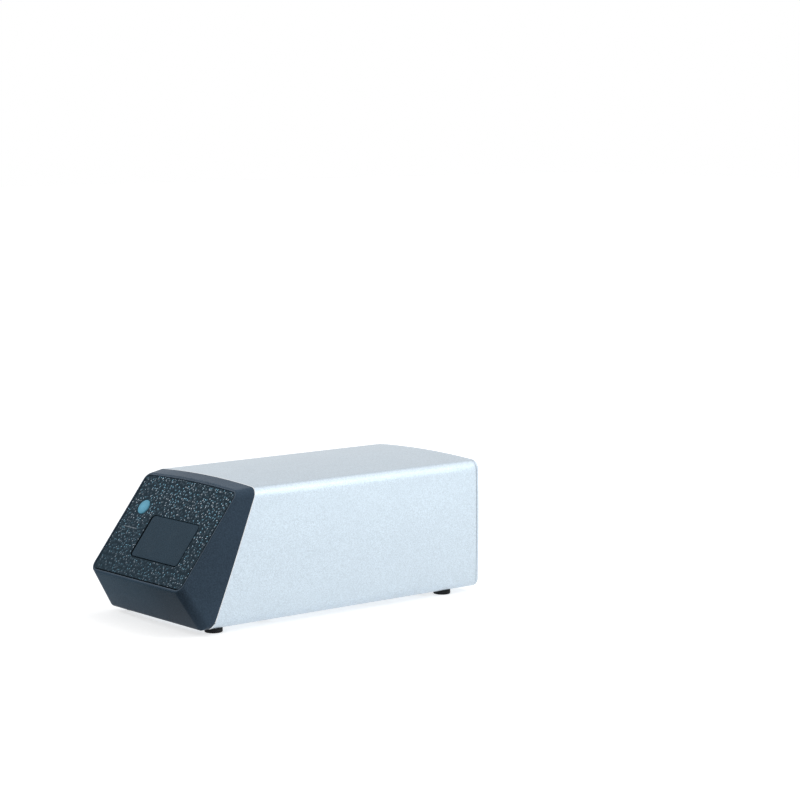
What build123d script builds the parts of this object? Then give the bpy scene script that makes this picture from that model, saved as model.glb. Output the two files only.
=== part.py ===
from build123d import *
from math import radians, sin, tan
import os

# Desktop imaging-plate scanner. Millimetres, +Z up, X across, the front faces -Y.
# Inside this file Y is measured back from the nose line of the front. save() moves
# everything so that the origin lies under the middle of the device, on the table.

# Outside sizes
LENGTH = 209.3
WIDTH = 96.0
HEIGHT = 79.0
FOOT_HEIGHT = 2.8
TOP_CROWN = 1.65
SIDE_CROWN = 0.6
CORNER_R = 5.5
WALL = 2.2

# Raked front panel plane: (y, z) of its lower and upper edge, and its outline
NOSE = (0.0, 25.3)
BROW = (40.3, 77.5)
FRONT_HALF = 44.3
FRONT_CROWN = 1.5
FRONT_R_TOP = 4.8
FRONT_R_LOW = 5.4
FRONT_EDGE = 0.4
LIP = 1.3
PANEL_POCKET = 1.8
PANEL_THICK = 1.6
PANEL_GAP = 0.15
BEZEL_WALL = 4.0

# Raked joint between bezel and sleeve, and the front edge of the flat underside
JOINT_LOW = (18.8, FOOT_HEIGHT)
JOINT_HIGH = (49.6, HEIGHT)
CHIN_BACK = 13.8
SPIGOT = 4.0
SPIGOT_GAP = 0.15
SPIGOT_WALL = 1.9
JOINT_CHAMFER = 0.7

# Rear panel
REAR_THICK = 1.6
REAR_SEAM = 0.1

# Tray mouth in the panel (x, z centre) and the tray
MOUTH_X = 6.0
MOUTH_Z = 46.55
MOUTH_W = 45.0
MOUTH_H = 21.3
MOUTH_R = 2.4
TRAY_GAP = 0.35
TRAY_RECESS = 0.4
TRAY_FACE = 3.2
TRAY_HALF = 20.4
TRAY_FLOOR_Z = 37.5
TRAY_TOP_Z = 45.5
TRAY_START = 24.0
TRAY_END = 84.0
WELL_START = 36.0
WELL_END = 78.0
WELL_HALF = 15.75
WELL_Z = 41.0
TRAY_OUT = 64.0
TRAY_IN = 46.0

# Status window on the panel (x, distance up the slope)
WINDOW_X = -29.5
WINDOW_UP = 43.8
WINDOW_R = 4.6
WINDOW_SEAT = 9.3

# Drive under the tray
ROD_X = 17.0
DRIVE_Z = 31.0
ROD_R = 3.0
SCREW_R = 4.0
SCREW_ROOT = 3.3
SCREW_LEAD = 8.0
CARRIAGE = (93.0, 107.0)
BLOCK_FRONT = (20.0, 26.0)
BLOCK_REAR = (154.0, 160.0)
COUPLING = (161.0, 173.0)
MOTOR_FACE = 175.5
MOTOR_LEN = 28.0
MOTOR_HALF = 14.0
RUN_GAP = 0.05

# Plates and boards inside
CHASSIS_Z = (7.6, 9.6)
BOARD_Z = (14.0, 15.6)
DECK_Z = (58.0, 60.0)
DECK_Y = (64.0, 160.0)
POST_X = 41.0
SCAN_Y = 82.0
MIRROR_Y = 140.0
BEAM_Z = 67.0

# Feet
FOOT_X = 38.5
FOOT_Y = (26.0, 189.0)
FOOT_R = 5.0

# Small and hidden round pieces that repeat are prisms: sides of a fitting, and of a screw
SIDES = 16
SCREW_SIDES = 8

os.makedirs("parts", exist_ok=True)
CENTRE = Pos(0, -LENGTH / 2, 0)


def save(node, shape):
    """Write one node, moved to the shared frame."""
    moved = CENTRE * shape
    export_step(moved, "parts/" + node + ".step")


def slope_plane(low, high):
    """Plane through the line x, with local y up the slope and the normal to the front."""
    run = high[0] - low[0]
    rise = high[1] - low[1]
    return Plane(origin=(0, low[0], low[1]), x_dir=(1, 0, 0), z_dir=(0, -rise, run))


FRONT = slope_plane(NOSE, BROW)
JOINT = slope_plane(JOINT_LOW, JOINT_HIGH)
SLOPE_LEN = ((BROW[0] - NOSE[0]) ** 2 + (BROW[1] - NOSE[1]) ** 2) ** 0.5
# how much longer a distance along Y is than the same distance along the panel's normal
NORMAL_TO_Y = SLOPE_LEN / (BROW[1] - NOSE[1])


def behind(plane, depth=0.0):
    """Everything on the back side of a plane, from a depth below it."""
    return plane * Pos(0, 0, -depth - 300) * Box(700, 700, 600)


def before(plane, depth=0.0):
    """Everything on the front side of a plane, from a depth below it."""
    return plane * Pos(0, 0, -depth + 300) * Box(700, 700, 600)


def block(x, y, z):
    """Box from its limits in x, y and z."""
    middle = ((x[0] + x[1]) / 2, (y[0] + y[1]) / 2, (z[0] + z[1]) / 2)
    return Pos(*middle) * Box(x[1] - x[0], y[1] - y[0], z[1] - z[0])


def rod(radius, length, sides, bore):
    """Cylinder, or a prism with a number of sides: in the circle, or round it for a bore."""
    if not sides:
        return Cylinder(radius, length)
    return extrude(RegularPolygon(radius, sides, major_radius=not bore), length / 2, both=True)


def rod_x(y, z, radius, x, sides=0, bore=False):
    """Rod along X between two limits."""
    return Pos((x[0] + x[1]) / 2, y, z) * Rot(0, 90, 0) * rod(radius, x[1] - x[0], sides, bore)


def rod_y(x, z, radius, y, sides=0, bore=False):
    """Rod along Y between two limits."""
    return Pos(x, (y[0] + y[1]) / 2, z) * Rot(90, 0, 0) * rod(radius, y[1] - y[0], sides, bore)


def rod_z(x, y, radius, z, sides=0, bore=False):
    """Rod along Z between two limits."""
    return Pos(x, y, (z[0] + z[1]) / 2) * rod(radius, z[1] - z[0], sides, bore)


def prism(sketch, y):
    """Extrude a sketch drawn in x and z along Y between two limits."""
    placed = Plane.XZ.offset(-y[1]) * sketch
    return extrude(placed, y[1] - y[0])


def bowed_sketch(half, low, shoulder, side_bow, crown, r_low, r_top):
    """Rounded outline with a flat foot, bowed sides and a crowned top."""
    middle = (low + shoulder) / 2
    line = Line((-half, low), (half, low))
    if side_bow:
        line += ThreePointArc((half, low), (half + side_bow, middle), (half, shoulder))
    else:
        line += Line((half, low), (half, shoulder))
    line += ThreePointArc((half, shoulder), (0, shoulder + crown), (-half, shoulder))
    if side_bow:
        line += ThreePointArc((-half, shoulder), (-half - side_bow, middle), (-half, low))
    else:
        line += Line((-half, shoulder), (-half, low))
    face = make_face(line)
    if r_low:
        face = fillet(face.vertices().sort_by(Axis.Y)[:2], r_low)
    return fillet(face.vertices().sort_by(Axis.Y)[-2:], r_top)


def tube_sketch(inset=0.0, floor=FOOT_HEIGHT):
    """Section of the sleeve in x and z, or the same drawn in by an inset."""
    radius = max(CORNER_R - inset, 1.0)
    return bowed_sketch(WIDTH / 2 - SIDE_CROWN - inset, floor + inset, HEIGHT - TOP_CROWN - inset,
                        SIDE_CROWN, TOP_CROWN, radius, radius)


def front_sketch(inset=0.0):
    """Outline of the raked front, in the front plane's own x and y."""
    return bowed_sketch(FRONT_HALF - inset, inset, SLOPE_LEN - FRONT_CROWN - inset, 0,
                        FRONT_CROWN, FRONT_R_LOW - inset, FRONT_R_TOP - inset)


def edge_loop(solid, plane, depth=0.0):
    """Edges of a solid that lie in a plane, or in a parallel one below it."""
    probe = plane.offset(-depth)
    return [e for e in solid.edges() if all(abs(probe.to_local_coords(v).Z) < 1e-3
                                            for v in (e @ 0, e @ 0.5, e @ 1))]


def on_front(x, up, radius, depth):
    """Cylinder square to the front panel between two depths below it."""
    middle = -(depth[0] + depth[1]) / 2
    return FRONT * Pos(x, up, middle) * Cylinder(radius, depth[1] - depth[0])


def mouth_prism(gap, y):
    """The tray mouth, or with a gap the tray front's outline, as a level prism."""
    outline = RectangleRounded(MOUTH_W - 2 * gap, MOUTH_H - 2 * gap, MOUTH_R - gap)
    return prism(Pos(MOUTH_X, MOUTH_Z) * outline, y)


REAR_FACE = LENGTH
SLEEVE_END = LENGTH - REAR_THICK - REAR_SEAM
FIELD_FACE = LENGTH - 1.4
FIELD_BACK = FIELD_FACE - 1.8
RIM = 2.0
BOSSES = [(-42.6, 8.2), (42.6, 8.2), (-42.4, 72.6), (42.4, 72.6)]
BOSS_R = 3.4
M3_TAP_R = 1.25
M3_R = 1.5
UNDER_SCREWS = [(-34, 62), (34, 62), (-34, 178), (34, 178)]
SPIGOT_IN = WALL + SPIGOT_GAP
SPIGOT_CORE = SPIGOT_IN + SPIGOT_WALL

# Housing sleeve: an extrusion cut off on the rake, with screw channels and floor ribs
outer = prism(tube_sketch(), (0, SLEEVE_END)) & behind(JOINT)
outer = chamfer(edge_loop(outer, JOINT), JOINT_CHAMFER)
sleeve = outer - prism(tube_sketch(WALL), (-5, LENGTH + 5))
fittings = Part() + [rod_y(x, z, BOSS_R, (40, FIELD_BACK), SIDES) for x, z in BOSSES]
fittings += [block((x - 3, x + 3), (40, FIELD_BACK), (4, CHASSIS_Z[0])) for x in (-34, 34)]
fittings = fittings & prism(tube_sketch(WALL / 2), (0, LENGTH)) & behind(JOINT, SPIGOT + 4)
sleeve += fittings
sleeve -= Part() + [rod_y(x, z, M3_TAP_R, (190, LENGTH), SCREW_SIDES) for x, z in BOSSES]
for x, y in UNDER_SCREWS:
    sleeve -= rod_z(x, y, M3_R, (0, 10), SCREW_SIDES)
    sleeve -= rod_z(x, y, 3.0, (0, FOOT_HEIGHT + 1.4), SCREW_SIDES)
save("housing_sleeve", sleeve)

# Screws through the underside, their heads sunk in
screws = []
for x, y in UNDER_SCREWS:
    screw = rod_z(x, y, M3_R - 0.05, (FOOT_HEIGHT + 0.2, CHASSIS_Z[1]), SCREW_SIDES)
    screw += rod_z(x, y, 2.8, (FOOT_HEIGHT + 0.2, FOOT_HEIGHT + 1.4), SCREW_SIDES)
    screws.append(screw)
save("underside_screws", Compound(children=screws))

# Front bezel: a loft from the raked front outline to the sleeve's own section on the
# raked joint. The joint outline is carried below the floor so that the chin keeps its
# slope, and the flat underside and its round corners are cut back afterwards.
chin_rise = (NOSE[1] - FOOT_HEIGHT) / CHIN_BACK
joint_rise = (JOINT_HIGH[1] - JOINT_LOW[1]) / (JOINT_HIGH[0] - JOINT_LOW[0])
chin_y = (NOSE[1] - JOINT_LOW[1] + joint_rise * JOINT_LOW[0]) / (chin_rise + joint_rise)
chin_z = NOSE[1] - chin_rise * chin_y
front_end = FRONT * bowed_sketch(FRONT_HALF, 0, SLOPE_LEN - FRONT_CROWN, 0,
                                 FRONT_CROWN, 0, FRONT_R_TOP)
low_tube = bowed_sketch(WIDTH / 2 - SIDE_CROWN, chin_z, HEIGHT - TOP_CROWN,
                        SIDE_CROWN, TOP_CROWN, 0, CORNER_R)
joint_end = section(prism(low_tube, (-40, LENGTH)), section_by=JOINT)
shell = loft([front_end.face(), joint_end.face()], ruled=True)

# Each lower corner of the chin is rounded by a cut along its edge. The cut's section,
# square to the edge, is bounded by an arc that touches the chin and the side.
corner_top = Vector(FRONT_HALF, *NOSE)
corner_low = Vector(WIDTH / 2 - SIDE_CROWN, chin_y, chin_z)
across = Plane(origin=corner_top, x_dir=(1, 0, 0), z_dir=corner_low - corner_top)
rakes = [Vector(0, high[0] - low[0], high[1] - low[1]).normalized()
         for low, high in ((NOSE, BROW), (JOINT_LOW, JOINT_HIGH))]
lean = across.to_local_coords(corner_top + rakes[0] + rakes[1])
chin_way = Vector(-1, 0)
side_way = Vector(lean.X, lean.Y).normalized()
inward = (chin_way + side_way).normalized()
half_angle = radians(chin_way.get_angle(inward))
reach = FRONT_R_LOW / tan(half_angle)
crest = inward * (FRONT_R_LOW / sin(half_angle) - FRONT_R_LOW)
cut_face = ThreePointArc(chin_way * reach, crest, side_way * reach)
cut_face += Polyline(side_way * reach, side_way * reach - inward * 6,
                     chin_way * reach - inward * 6, chin_way * reach)
corner_cut = across * Pos(0, 0, -20) * extrude(make_face(cut_face), 60)
shell = shell - corner_cut - mirror(corner_cut, Plane.YZ)

shell = shell & block((-60, 60), (-10, 60), (FOOT_HEIGHT, 90))
shell = shell & prism(tube_sketch(), (-10, 60))
# the front edge's chamfer widens from an inset outline, 30 degrees to the front
rim_cut = FRONT * Pos(0, SLOPE_LEN / 2, -0.5) * Box(140, 140, 1)
shell -= rim_cut - extrude(FRONT * front_sketch(FRONT_EDGE), -1, taper=-60)
cavity_front = FRONT.offset(-BEZEL_WALL) * Pos(0, SLOPE_LEN / 2) * Rectangle(
    2 * FRONT_HALF - 7, SLOPE_LEN - 8)
core_half = WIDTH / 2 - SPIGOT_CORE - 0.6
cavity_back = JOINT * Pos(0, 39.5) * Rectangle(2 * core_half, 79)
cavity = loft([cavity_front.face(), cavity_back.face()], ruled=True)
cavity = cavity & block((-60, 60), (-10, 60), (FOOT_HEIGHT + SPIGOT_CORE, HEIGHT - 6.1))
bezel = shell - cavity
# four tongues locate the bezel inside the sleeve
side_in = WIDTH / 2 - SIDE_CROWN - SPIGOT_IN
top_in = HEIGHT - TOP_CROWN - SPIGOT_IN
floor_in = FOOT_HEIGHT + SPIGOT_IN
tongues = [block((-32, 32), (0, 70), (z, z + SPIGOT_WALL))
           for z in (floor_in, top_in - SPIGOT_WALL)]
tongues += [block((x, x + SPIGOT_WALL), (0, 70), (18, 64))
            for x in (-side_in, side_in - SPIGOT_WALL)]
bezel += (Part() + tongues) & behind(JOINT, -0.01) & before(JOINT, SPIGOT)
bezel -= extrude(FRONT * front_sketch(LIP), -PANEL_POCKET)
bezel -= block((MOUTH_X - MOUTH_W / 2, MOUTH_X + MOUTH_W / 2), (-20, 45),
               (MOUTH_Z - MOUTH_H / 2, MOUTH_Z + MOUTH_H / 2))
bezel -= FRONT * Pos(WINDOW_X, WINDOW_UP) * Box(WINDOW_SEAT, WINDOW_SEAT, 20)
for dx in (-8, 8):
    bezel += FRONT * Pos(WINDOW_X + dx, WINDOW_UP, -5.8) * Box(2.6, 2.6, 4.4)
save("front_bezel", bezel)

# Textured panel insert
panel_top = PANEL_POCKET - PANEL_THICK
panel = extrude(FRONT.offset(-panel_top) * front_sketch(LIP + PANEL_GAP), -PANEL_THICK)
panel = chamfer(edge_loop(panel, FRONT, panel_top), 0.3)
panel -= mouth_prism(0, (-20, 45))
panel -= on_front(WINDOW_X, WINDOW_UP, WINDOW_R + 0.05, (-5, 8))
save("front_panel", panel)

# Status light: a round window on a square body, flanged from behind, and its small board
window = on_front(WINDOW_X, WINDOW_UP, WINDOW_R, (0.1, PANEL_POCKET + 0.1))
body = FRONT * Pos(WINDOW_X, WINDOW_UP, -(PANEL_POCKET + BEZEL_WALL) / 2)
window += body * Box(WINDOW_SEAT - 0.1, WINDOW_SEAT - 0.1, BEZEL_WALL - PANEL_POCKET)
flange = FRONT * Pos(WINDOW_X, WINDOW_UP, -BEZEL_WALL - 0.7)
window += flange * Box(WINDOW_SEAT + 1.7, WINDOW_SEAT + 1.7, 1.4)
save("status_window", window)
board = extrude(FRONT.offset(-8.0) * Pos(WINDOW_X, WINDOW_UP) * Rectangle(20, 13), -1.2)
for dx in (-3, 3):
    board += FRONT * Pos(WINDOW_X + dx, WINDOW_UP, -7.4) * Box(2.8, 2.8, 1.2)
save("status_board", board)

# Rear panel: a rim flush with the sleeve round a field that sits a little deeper
rear = prism(tube_sketch(), (SLEEVE_END + REAR_SEAM, REAR_FACE))
rear -= prism(tube_sketch(RIM), (FIELD_FACE, LENGTH + 5))
plate = block((-side_in, side_in), (FIELD_BACK, SLEEVE_END + REAR_SEAM + 0.1), (floor_in, top_in))
rear += chamfer(plate.edges().filter_by(Axis.Y), 2.5)
rear -= Part() + [rod_y(x, z, M3_R, (200, 215), SCREW_SIDES) for x, z in BOSSES]
SWITCH = (28.0, 55.0)
JACK = (-30.0, 58.0)
SOCKET = (-8.0, 57.6)
rear -= block((SWITCH[0] - 6.6, SWITCH[0] + 6.6), (200, 215), (SWITCH[1] - 9.6, SWITCH[1] + 9.6))
rear -= rod_y(JACK[0], JACK[1], 4.0, (200, 215))
rear -= block((SOCKET[0] - 6.2, SOCKET[0] + 6.2), (200, 215), (SOCKET[1] - 5.6, SOCKET[1] + 5.6))
vents = [Pos(-36 + 3.6 * i, 24) * Rectangle(1.7, 14) for i in range(7)]
rear -= Part() + [prism(slot, (200, 215)) for slot in vents]
save("rear_panel", rear)

screws = []
for x, z in BOSSES:
    screw = rod_y(x, z, M3_TAP_R, (196, FIELD_FACE), SCREW_SIDES)
    screws.append(screw + rod_y(x, z, 2.8, (FIELD_FACE, LENGTH - 0.2), SCREW_SIDES))
save("rear_screws", Compound(children=screws))

# Feet
feet = []
for x in (-FOOT_X, FOOT_X):
    for y in FOOT_Y:
        feet.append(rod_z(x, y, FOOT_R, (0, FOOT_HEIGHT), 2 * SIDES))
save("feet", Compound(children=feet))

# Power switch: frame and rocker. The rocker is stored with its lower end pressed in.
ROCKER_AXIS_Y = 204.5
ROCKER_TILT = 8.0
ROCKER_FACE = 2.6
ROCKER_R = 8.4
sx, sz = SWITCH
frame = block((sx - 7.5, sx + 7.5), (FIELD_FACE, LENGTH - 0.2), (sz - 10.5, sz + 10.5))
frame = chamfer(frame.edges().filter_by(Axis.Y), 1.0)
frame += block((sx - 6.5, sx + 6.5), (196, FIELD_FACE), (sz - 9.5, sz + 9.5))
frame -= block((sx - 5.5, sx + 5.5), (199, LENGTH + 1), (sz - 8.5, sz + 8.5))
frame -= rod_x(ROCKER_AXIS_Y, sz, 1.25, (sx - 6.3, sx + 6.3), SIDES, True)
for dz in (-6, 0, 6):
    frame += block((sx - 2.4, sx + 2.4), (189, 196), (sz + dz - 0.4, sz + dz + 0.4))
save("switch_frame", frame)
rise = 7.6 * 0.1405
profile = Polyline((-7.6, -3.0), (7.6, -3.0), (7.6, ROCKER_FACE + rise), (0, ROCKER_FACE),
                   (-7.6, ROCKER_FACE + rise), (-7.6, -3.0))
rocker = extrude(make_face(profile), 5.3, both=True) & Cylinder(ROCKER_R, 20)
rocker += rod(1.2, 12.2, SIDES, False)
# local x goes down, local y points back, and the tilt presses the lower end in
lay = Plane(origin=(sx, ROCKER_AXIS_Y, sz), x_dir=(0, 0, -1), z_dir=(1, 0, 0))
rocker = lay * Rot(0, 0, -ROCKER_TILT) * rocker
save("power_rocker", rocker)

# Power inlet and data socket, standing on the connector board
jx, jz = JACK
jack = block((jx - 4.5, jx + 4.5), (193, FIELD_BACK - 0.1), (51.6, 63.0))
jack += rod_y(jx, jz, 3.9, (200, FIELD_FACE + 0.6))
jack -= rod_y(jx, jz, 2.8, (199, LENGTH))
jack += rod_y(jx, jz, 1.0, (197, FIELD_FACE - 0.4), SCREW_SIDES)
save("power_inlet", jack)
ux, uz = SOCKET
socket = block((ux - 6.0, ux + 6.0), (192, FIELD_FACE + 0.5), (51.6 + 0.6, uz + 5.4))
socket += block((ux - 5.0, ux + 5.0), (193, 203), (51.6, 53))
socket -= block((ux - 4.2, ux + 4.2), (200, LENGTH), (uz - 3.9, uz + 3.9))
socket += block((ux - 2.8, ux + 2.8), (198, FIELD_FACE - 0.8), (uz - 1.6, uz + 1.6))
save("data_socket", socket)

# Chassis plate on the sleeve's floor ribs, with lightening slots
chassis = block((-36, 36), (20, 198), CHASSIS_Z)
chassis = chamfer(chassis.edges().filter_by(Axis.Z), 4)
for y in (96, 118, 140):
    slot = Pos(6, y, CHASSIS_Z[0]) * Rectangle(40, 10)
    chassis -= extrude(slot, CHASSIS_Z[1] - CHASSIS_Z[0])
chassis -= Part() + [rod_z(x, y, M3_R, (5, 12), SCREW_SIDES) for x, y in UNDER_SCREWS]
save("chassis_plate", chassis)

# Guide blocks, rods and bearings of the tray drive
rods = [(MOUTH_X - ROD_X, DRIVE_Z), (MOUTH_X + ROD_X, DRIVE_Z)]
BEARING_R = 4.0
for name, span in (("guide_block_front", BLOCK_FRONT), ("guide_block_rear", BLOCK_REAR)):
    base = block((MOUTH_X - 23, MOUTH_X + 23), span, (CHASSIS_Z[1], DRIVE_Z + 4.4))
    base = chamfer(base.edges().filter_by(Axis.Y).sort_by(Axis.Z)[-2:], 2.5)
    base -= block((MOUTH_X - 14, MOUTH_X + 14), span, (CHASSIS_Z[1], 23))
    base -= Part() + [rod_y(x, z, ROD_R, span, SIDES) for x, z in rods]
    base -= rod_y(MOUTH_X, DRIVE_Z, BEARING_R, (span[0] - 1, span[1] + 1), SIDES)
    if name == "guide_block_rear":
        base += block((MOUTH_X - 23, MOUTH_X - 14), (148, 160), (CHASSIS_Z[1], 12.6))
        base += block((MOUTH_X + 14, MOUTH_X + 23), (148, 160), (CHASSIS_Z[1], 12.6))
    save(name, base)
pair = [rod_y(x, z, ROD_R, (BLOCK_FRONT[0], BLOCK_REAR[1]), SIDES) for x, z in rods]
save("guide_rods", Compound(children=pair))
rings = []
for span in (BLOCK_FRONT, BLOCK_REAR):
    ring = rod_y(MOUTH_X, DRIVE_Z, BEARING_R, span, SIDES)
    ring -= rod_y(MOUTH_X, DRIVE_Z, SCREW_ROOT - 0.3 + RUN_GAP, (span[0] - 1, span[1] + 1),
                  SIDES, True)
    rings.append(ring)
save("screw_bearings", Compound(children=rings))

# Lead screw with its journals
SCREW_SPAN = (BLOCK_FRONT[1] + 0.5, BLOCK_REAR[0] - 0.5)
JOURNAL_R = SCREW_ROOT - 0.3
screw = rod_y(MOUTH_X, DRIVE_Z, SCREW_R, SCREW_SPAN)
screw += rod_y(MOUTH_X, DRIVE_Z, JOURNAL_R, (BLOCK_FRONT[0] + 0.5, 167), SIDES)
save("lead_screw", screw)

# Flexible coupling, motor shaft, motor and its bracket
coupling = rod_y(MOUTH_X, DRIVE_Z, 7.0, COUPLING, SIDES)
coupling -= rod_y(MOUTH_X, DRIVE_Z, JOURNAL_R, (160, 167), SIDES)
coupling -= rod_y(MOUTH_X, DRIVE_Z, 2.5, (167, 174), SIDES)
# two flexing slits, cut from opposite sides
slits = [((MOUTH_X - 4.2, MOUTH_X + 8), 165.2), ((MOUTH_X - 8, MOUTH_X + 4.2), 168.4)]
coupling -= Part() + [block(x, (y, y + 0.7), (DRIVE_Z - 8, DRIVE_Z + 8)) for x, y in slits]
save("shaft_coupling", coupling)
save("motor_shaft", rod_y(MOUTH_X, DRIVE_Z, 2.5, (167, 180), SIDES))
bracket = block((MOUTH_X - 17, MOUTH_X + 17), (MOTOR_FACE - 2.2, MOTOR_FACE), (CHASSIS_Z[1], 47))
bracket += block((MOUTH_X - 17, MOUTH_X + 17), (MOTOR_FACE - 2.2, 188), (CHASSIS_Z[1], 11.8))
bracket = chamfer(bracket.edges().filter_by(Axis.Y).sort_by(Axis.Z)[-2:], 4)
bracket -= rod_y(MOUTH_X, DRIVE_Z, 9.0, (170, MOTOR_FACE + 0.1), SIDES)
save("motor_bracket", bracket)
motor_end = MOTOR_FACE + MOTOR_LEN
body = block((MOUTH_X - 14, MOUTH_X + 14), (MOTOR_FACE, motor_end), (DRIVE_Z - 14, DRIVE_Z + 14))
body = chamfer(body.edges().filter_by(Axis.Y), 3.5)
waist = block((-30, 40), (MOTOR_FACE + 8, motor_end - 8), (0, 60))
body -= waist - block((MOUTH_X - 13.2, MOUTH_X + 13.2), (170, 210), (DRIVE_Z - 13.2, DRIVE_Z + 13.2))
body += rod_y(MOUTH_X, DRIVE_Z, 8.9, (MOTOR_FACE - 1.8, MOTOR_FACE), SIDES)
body -= rod_y(MOUTH_X, DRIVE_Z, 2.5 + RUN_GAP, (170, 181), SIDES, True)
save("stepper_motor", body)

# Carriage under the tray, riding on bushings and a nut
cy = CARRIAGE
carriage = block((MOUTH_X - 24, MOUTH_X + 24), cy, (23.8, TRAY_FLOOR_Z))
carriage = chamfer(carriage.edges().filter_by(Axis.Y).sort_by(Axis.Z)[:2], 2.5)
carriage -= Part() + [rod_y(x, z, 5.0, cy, SIDES) for x, z in rods]
carriage -= rod_y(MOUTH_X, DRIVE_Z, 6.0, cy, SIDES)
save("tray_carriage", carriage)
sleeves = []
for x, z in rods:
    sleeves.append(rod_y(x, z, 5.0, cy, SIDES) - rod_y(x, z, ROD_R + RUN_GAP, (80, 120), SIDES))
save("slide_bushings", Compound(children=sleeves))
nut = rod_y(MOUTH_X, DRIVE_Z, 6.0, cy, SIDES)
nut += rod_y(MOUTH_X, DRIVE_Z, 8.5, (cy[0] - 2.5, cy[0]), SIDES)
nut = nut & block((-20, 40), (80, 120), (20, TRAY_FLOOR_Z - 0.3))
nut -= rod_y(MOUTH_X, DRIVE_Z, SCREW_R + RUN_GAP, (80, 120), SIDES, True)
save("lead_nut", nut)
flag = block((-27, MOUTH_X - 24), (cy[0] + 3, cy[0] + 11), (34.6, 36.4))
flag += block((-24.5, -23.5), (cy[0] + 3, cy[0] + 11), (26, 34.6))
save("sensor_flag", flag)

# Plate tray: a shallow well for the imaging plate, finger scoops and magnet pockets
tray = block((MOUTH_X - TRAY_HALF, MOUTH_X + TRAY_HALF), (TRAY_START, TRAY_END),
             (TRAY_FLOOR_Z, TRAY_TOP_Z))
tray = chamfer(tray.edges().filter_by(Axis.Z).sort_by(Axis.Y)[-2:], 2)
tray = chamfer(tray.faces().sort_by(Axis.Z)[-1].edges(), 0.5)
tray += block((MOUTH_X - TRAY_HALF, MOUTH_X + TRAY_HALF), (TRAY_END - 6, cy[1]),
              (TRAY_FLOOR_Z, TRAY_FLOOR_Z + 3))
well_y = (WELL_START + WELL_END) / 2
well = Pos(MOUTH_X, well_y, WELL_Z) * RectangleRounded(2 * WELL_HALF, WELL_END - WELL_START, 3)
tray -= extrude(well, 10)
scoop = rod_y(MOUTH_X, WELL_Z + 6.0, 7.0, (WELL_START - 5, WELL_END + 3))
tray -= scoop
MAGNETS = [(MOUTH_X, 49), (MOUTH_X, 65)]
tray -= Part() + [rod_z(x, y, 5.05, (TRAY_FLOOR_Z, TRAY_FLOOR_Z + 1.5), SIDES)
                  for x, y in MAGNETS]
save("plate_tray", tray)
discs = [rod_z(x, y, 5.0, (TRAY_FLOOR_Z, TRAY_FLOOR_Z + 1.4), SIDES) for x, y in MAGNETS]
save("tray_magnets", Compound(children=discs))

# Tray front: a plain cover with a stiffening rim and two posts to the tray
cover = mouth_prism(TRAY_GAP, (-20, 60)) & behind(FRONT, TRAY_RECESS)
cover = chamfer(edge_loop(cover, FRONT, TRAY_RECESS), 0.4)
half_w = MOUTH_W / 2 - TRAY_GAP - 2.0
half_h = MOUTH_H / 2 - TRAY_GAP - 2.0
core = block((MOUTH_X - half_w, MOUTH_X + half_w), (-20, 60), (MOUTH_Z - half_h, MOUTH_Z + half_h))
core = core & behind(FRONT, TRAY_RECESS + TRAY_FACE)
cover = (cover & before(FRONT, TRAY_RECESS + 5.0)) - core
for dx in (-13, 13):
    post = block((MOUTH_X + dx - 3.5, MOUTH_X + dx + 3.5), (0, TRAY_START), (39, 45))
    cover += post & behind(FRONT, TRAY_RECESS + 1)
save("tray_front", cover)

# Home sensor astride the flag's path, on the main board
prongs = block((-28, -20), (cy[0] + 1, cy[0] + 13), (BOARD_Z[1], 33))
prongs -= block((-25.2, -22.8), (80, 120), (20, 40))
save("home_sensor", prongs)

# Main board on standoffs
board = block((-31, 31), (62, 146), BOARD_Z)
board = chamfer(board.edges().filter_by(Axis.Z), 2)
save("main_board", board)


def hex_post(x, y, flat, z):
    """Hexagonal standoff between two heights."""
    return Pos(x, y, z[0]) * extrude(RegularPolygon(flat / 2, 6, major_radius=False), z[1] - z[0])


legs = [hex_post(x, y, 5.0, (CHASSIS_Z[1], BOARD_Z[0])) for x in (-27, 27) for y in (66, 142)]
save("board_standoffs", Compound(children=legs))
top = BOARD_Z[1]
chips = [block((x - a, x + a), (y - b, y + b), (top, top + h)) for x, y, a, b, h in (
    (-6, 80, 8.5, 8.5, 1.8), (16, 84, 6, 6, 1.6), (-14, 128, 7, 7, 1.6), (12, 108, 5, 9, 1.4),
    (-8, 104, 3, 5, 1.6), (20, 130, 3, 10, 6.0), (-26, 120, 3, 9, 6.0), (4, 141, 12, 3, 6.5),
    (2, 124, 4, 4, 3.6))]
chips += [rod_z(24, y, 3.4, (top, top + 7), SIDES) for y in (78, 90)]
save("board_chips", Compound(children=chips))

# Optics deck on four posts, with the scanning slit
posts_at = [(x, y) for x in (-34.5, 34.5) for y in (68, 156)]
posts = [hex_post(x, y, 5.5, (CHASSIS_Z[1], DECK_Z[0])) for x, y in posts_at]
save("deck_posts", Compound(children=posts))
deck = block((-43.5, 43.5), DECK_Y, DECK_Z)
deck = chamfer(deck.edges().filter_by(Axis.Z), 5)
slit = Pos(MOUTH_X, SCAN_Y, DECK_Z[0]) * Rectangle(38, 3)
deck -= extrude(slit, DECK_Z[1] - DECK_Z[0])
deck -= rod_z(MOUTH_X, MIRROR_Y, 6.1, (50, 65), SIDES)
save("optics_deck", deck)

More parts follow.
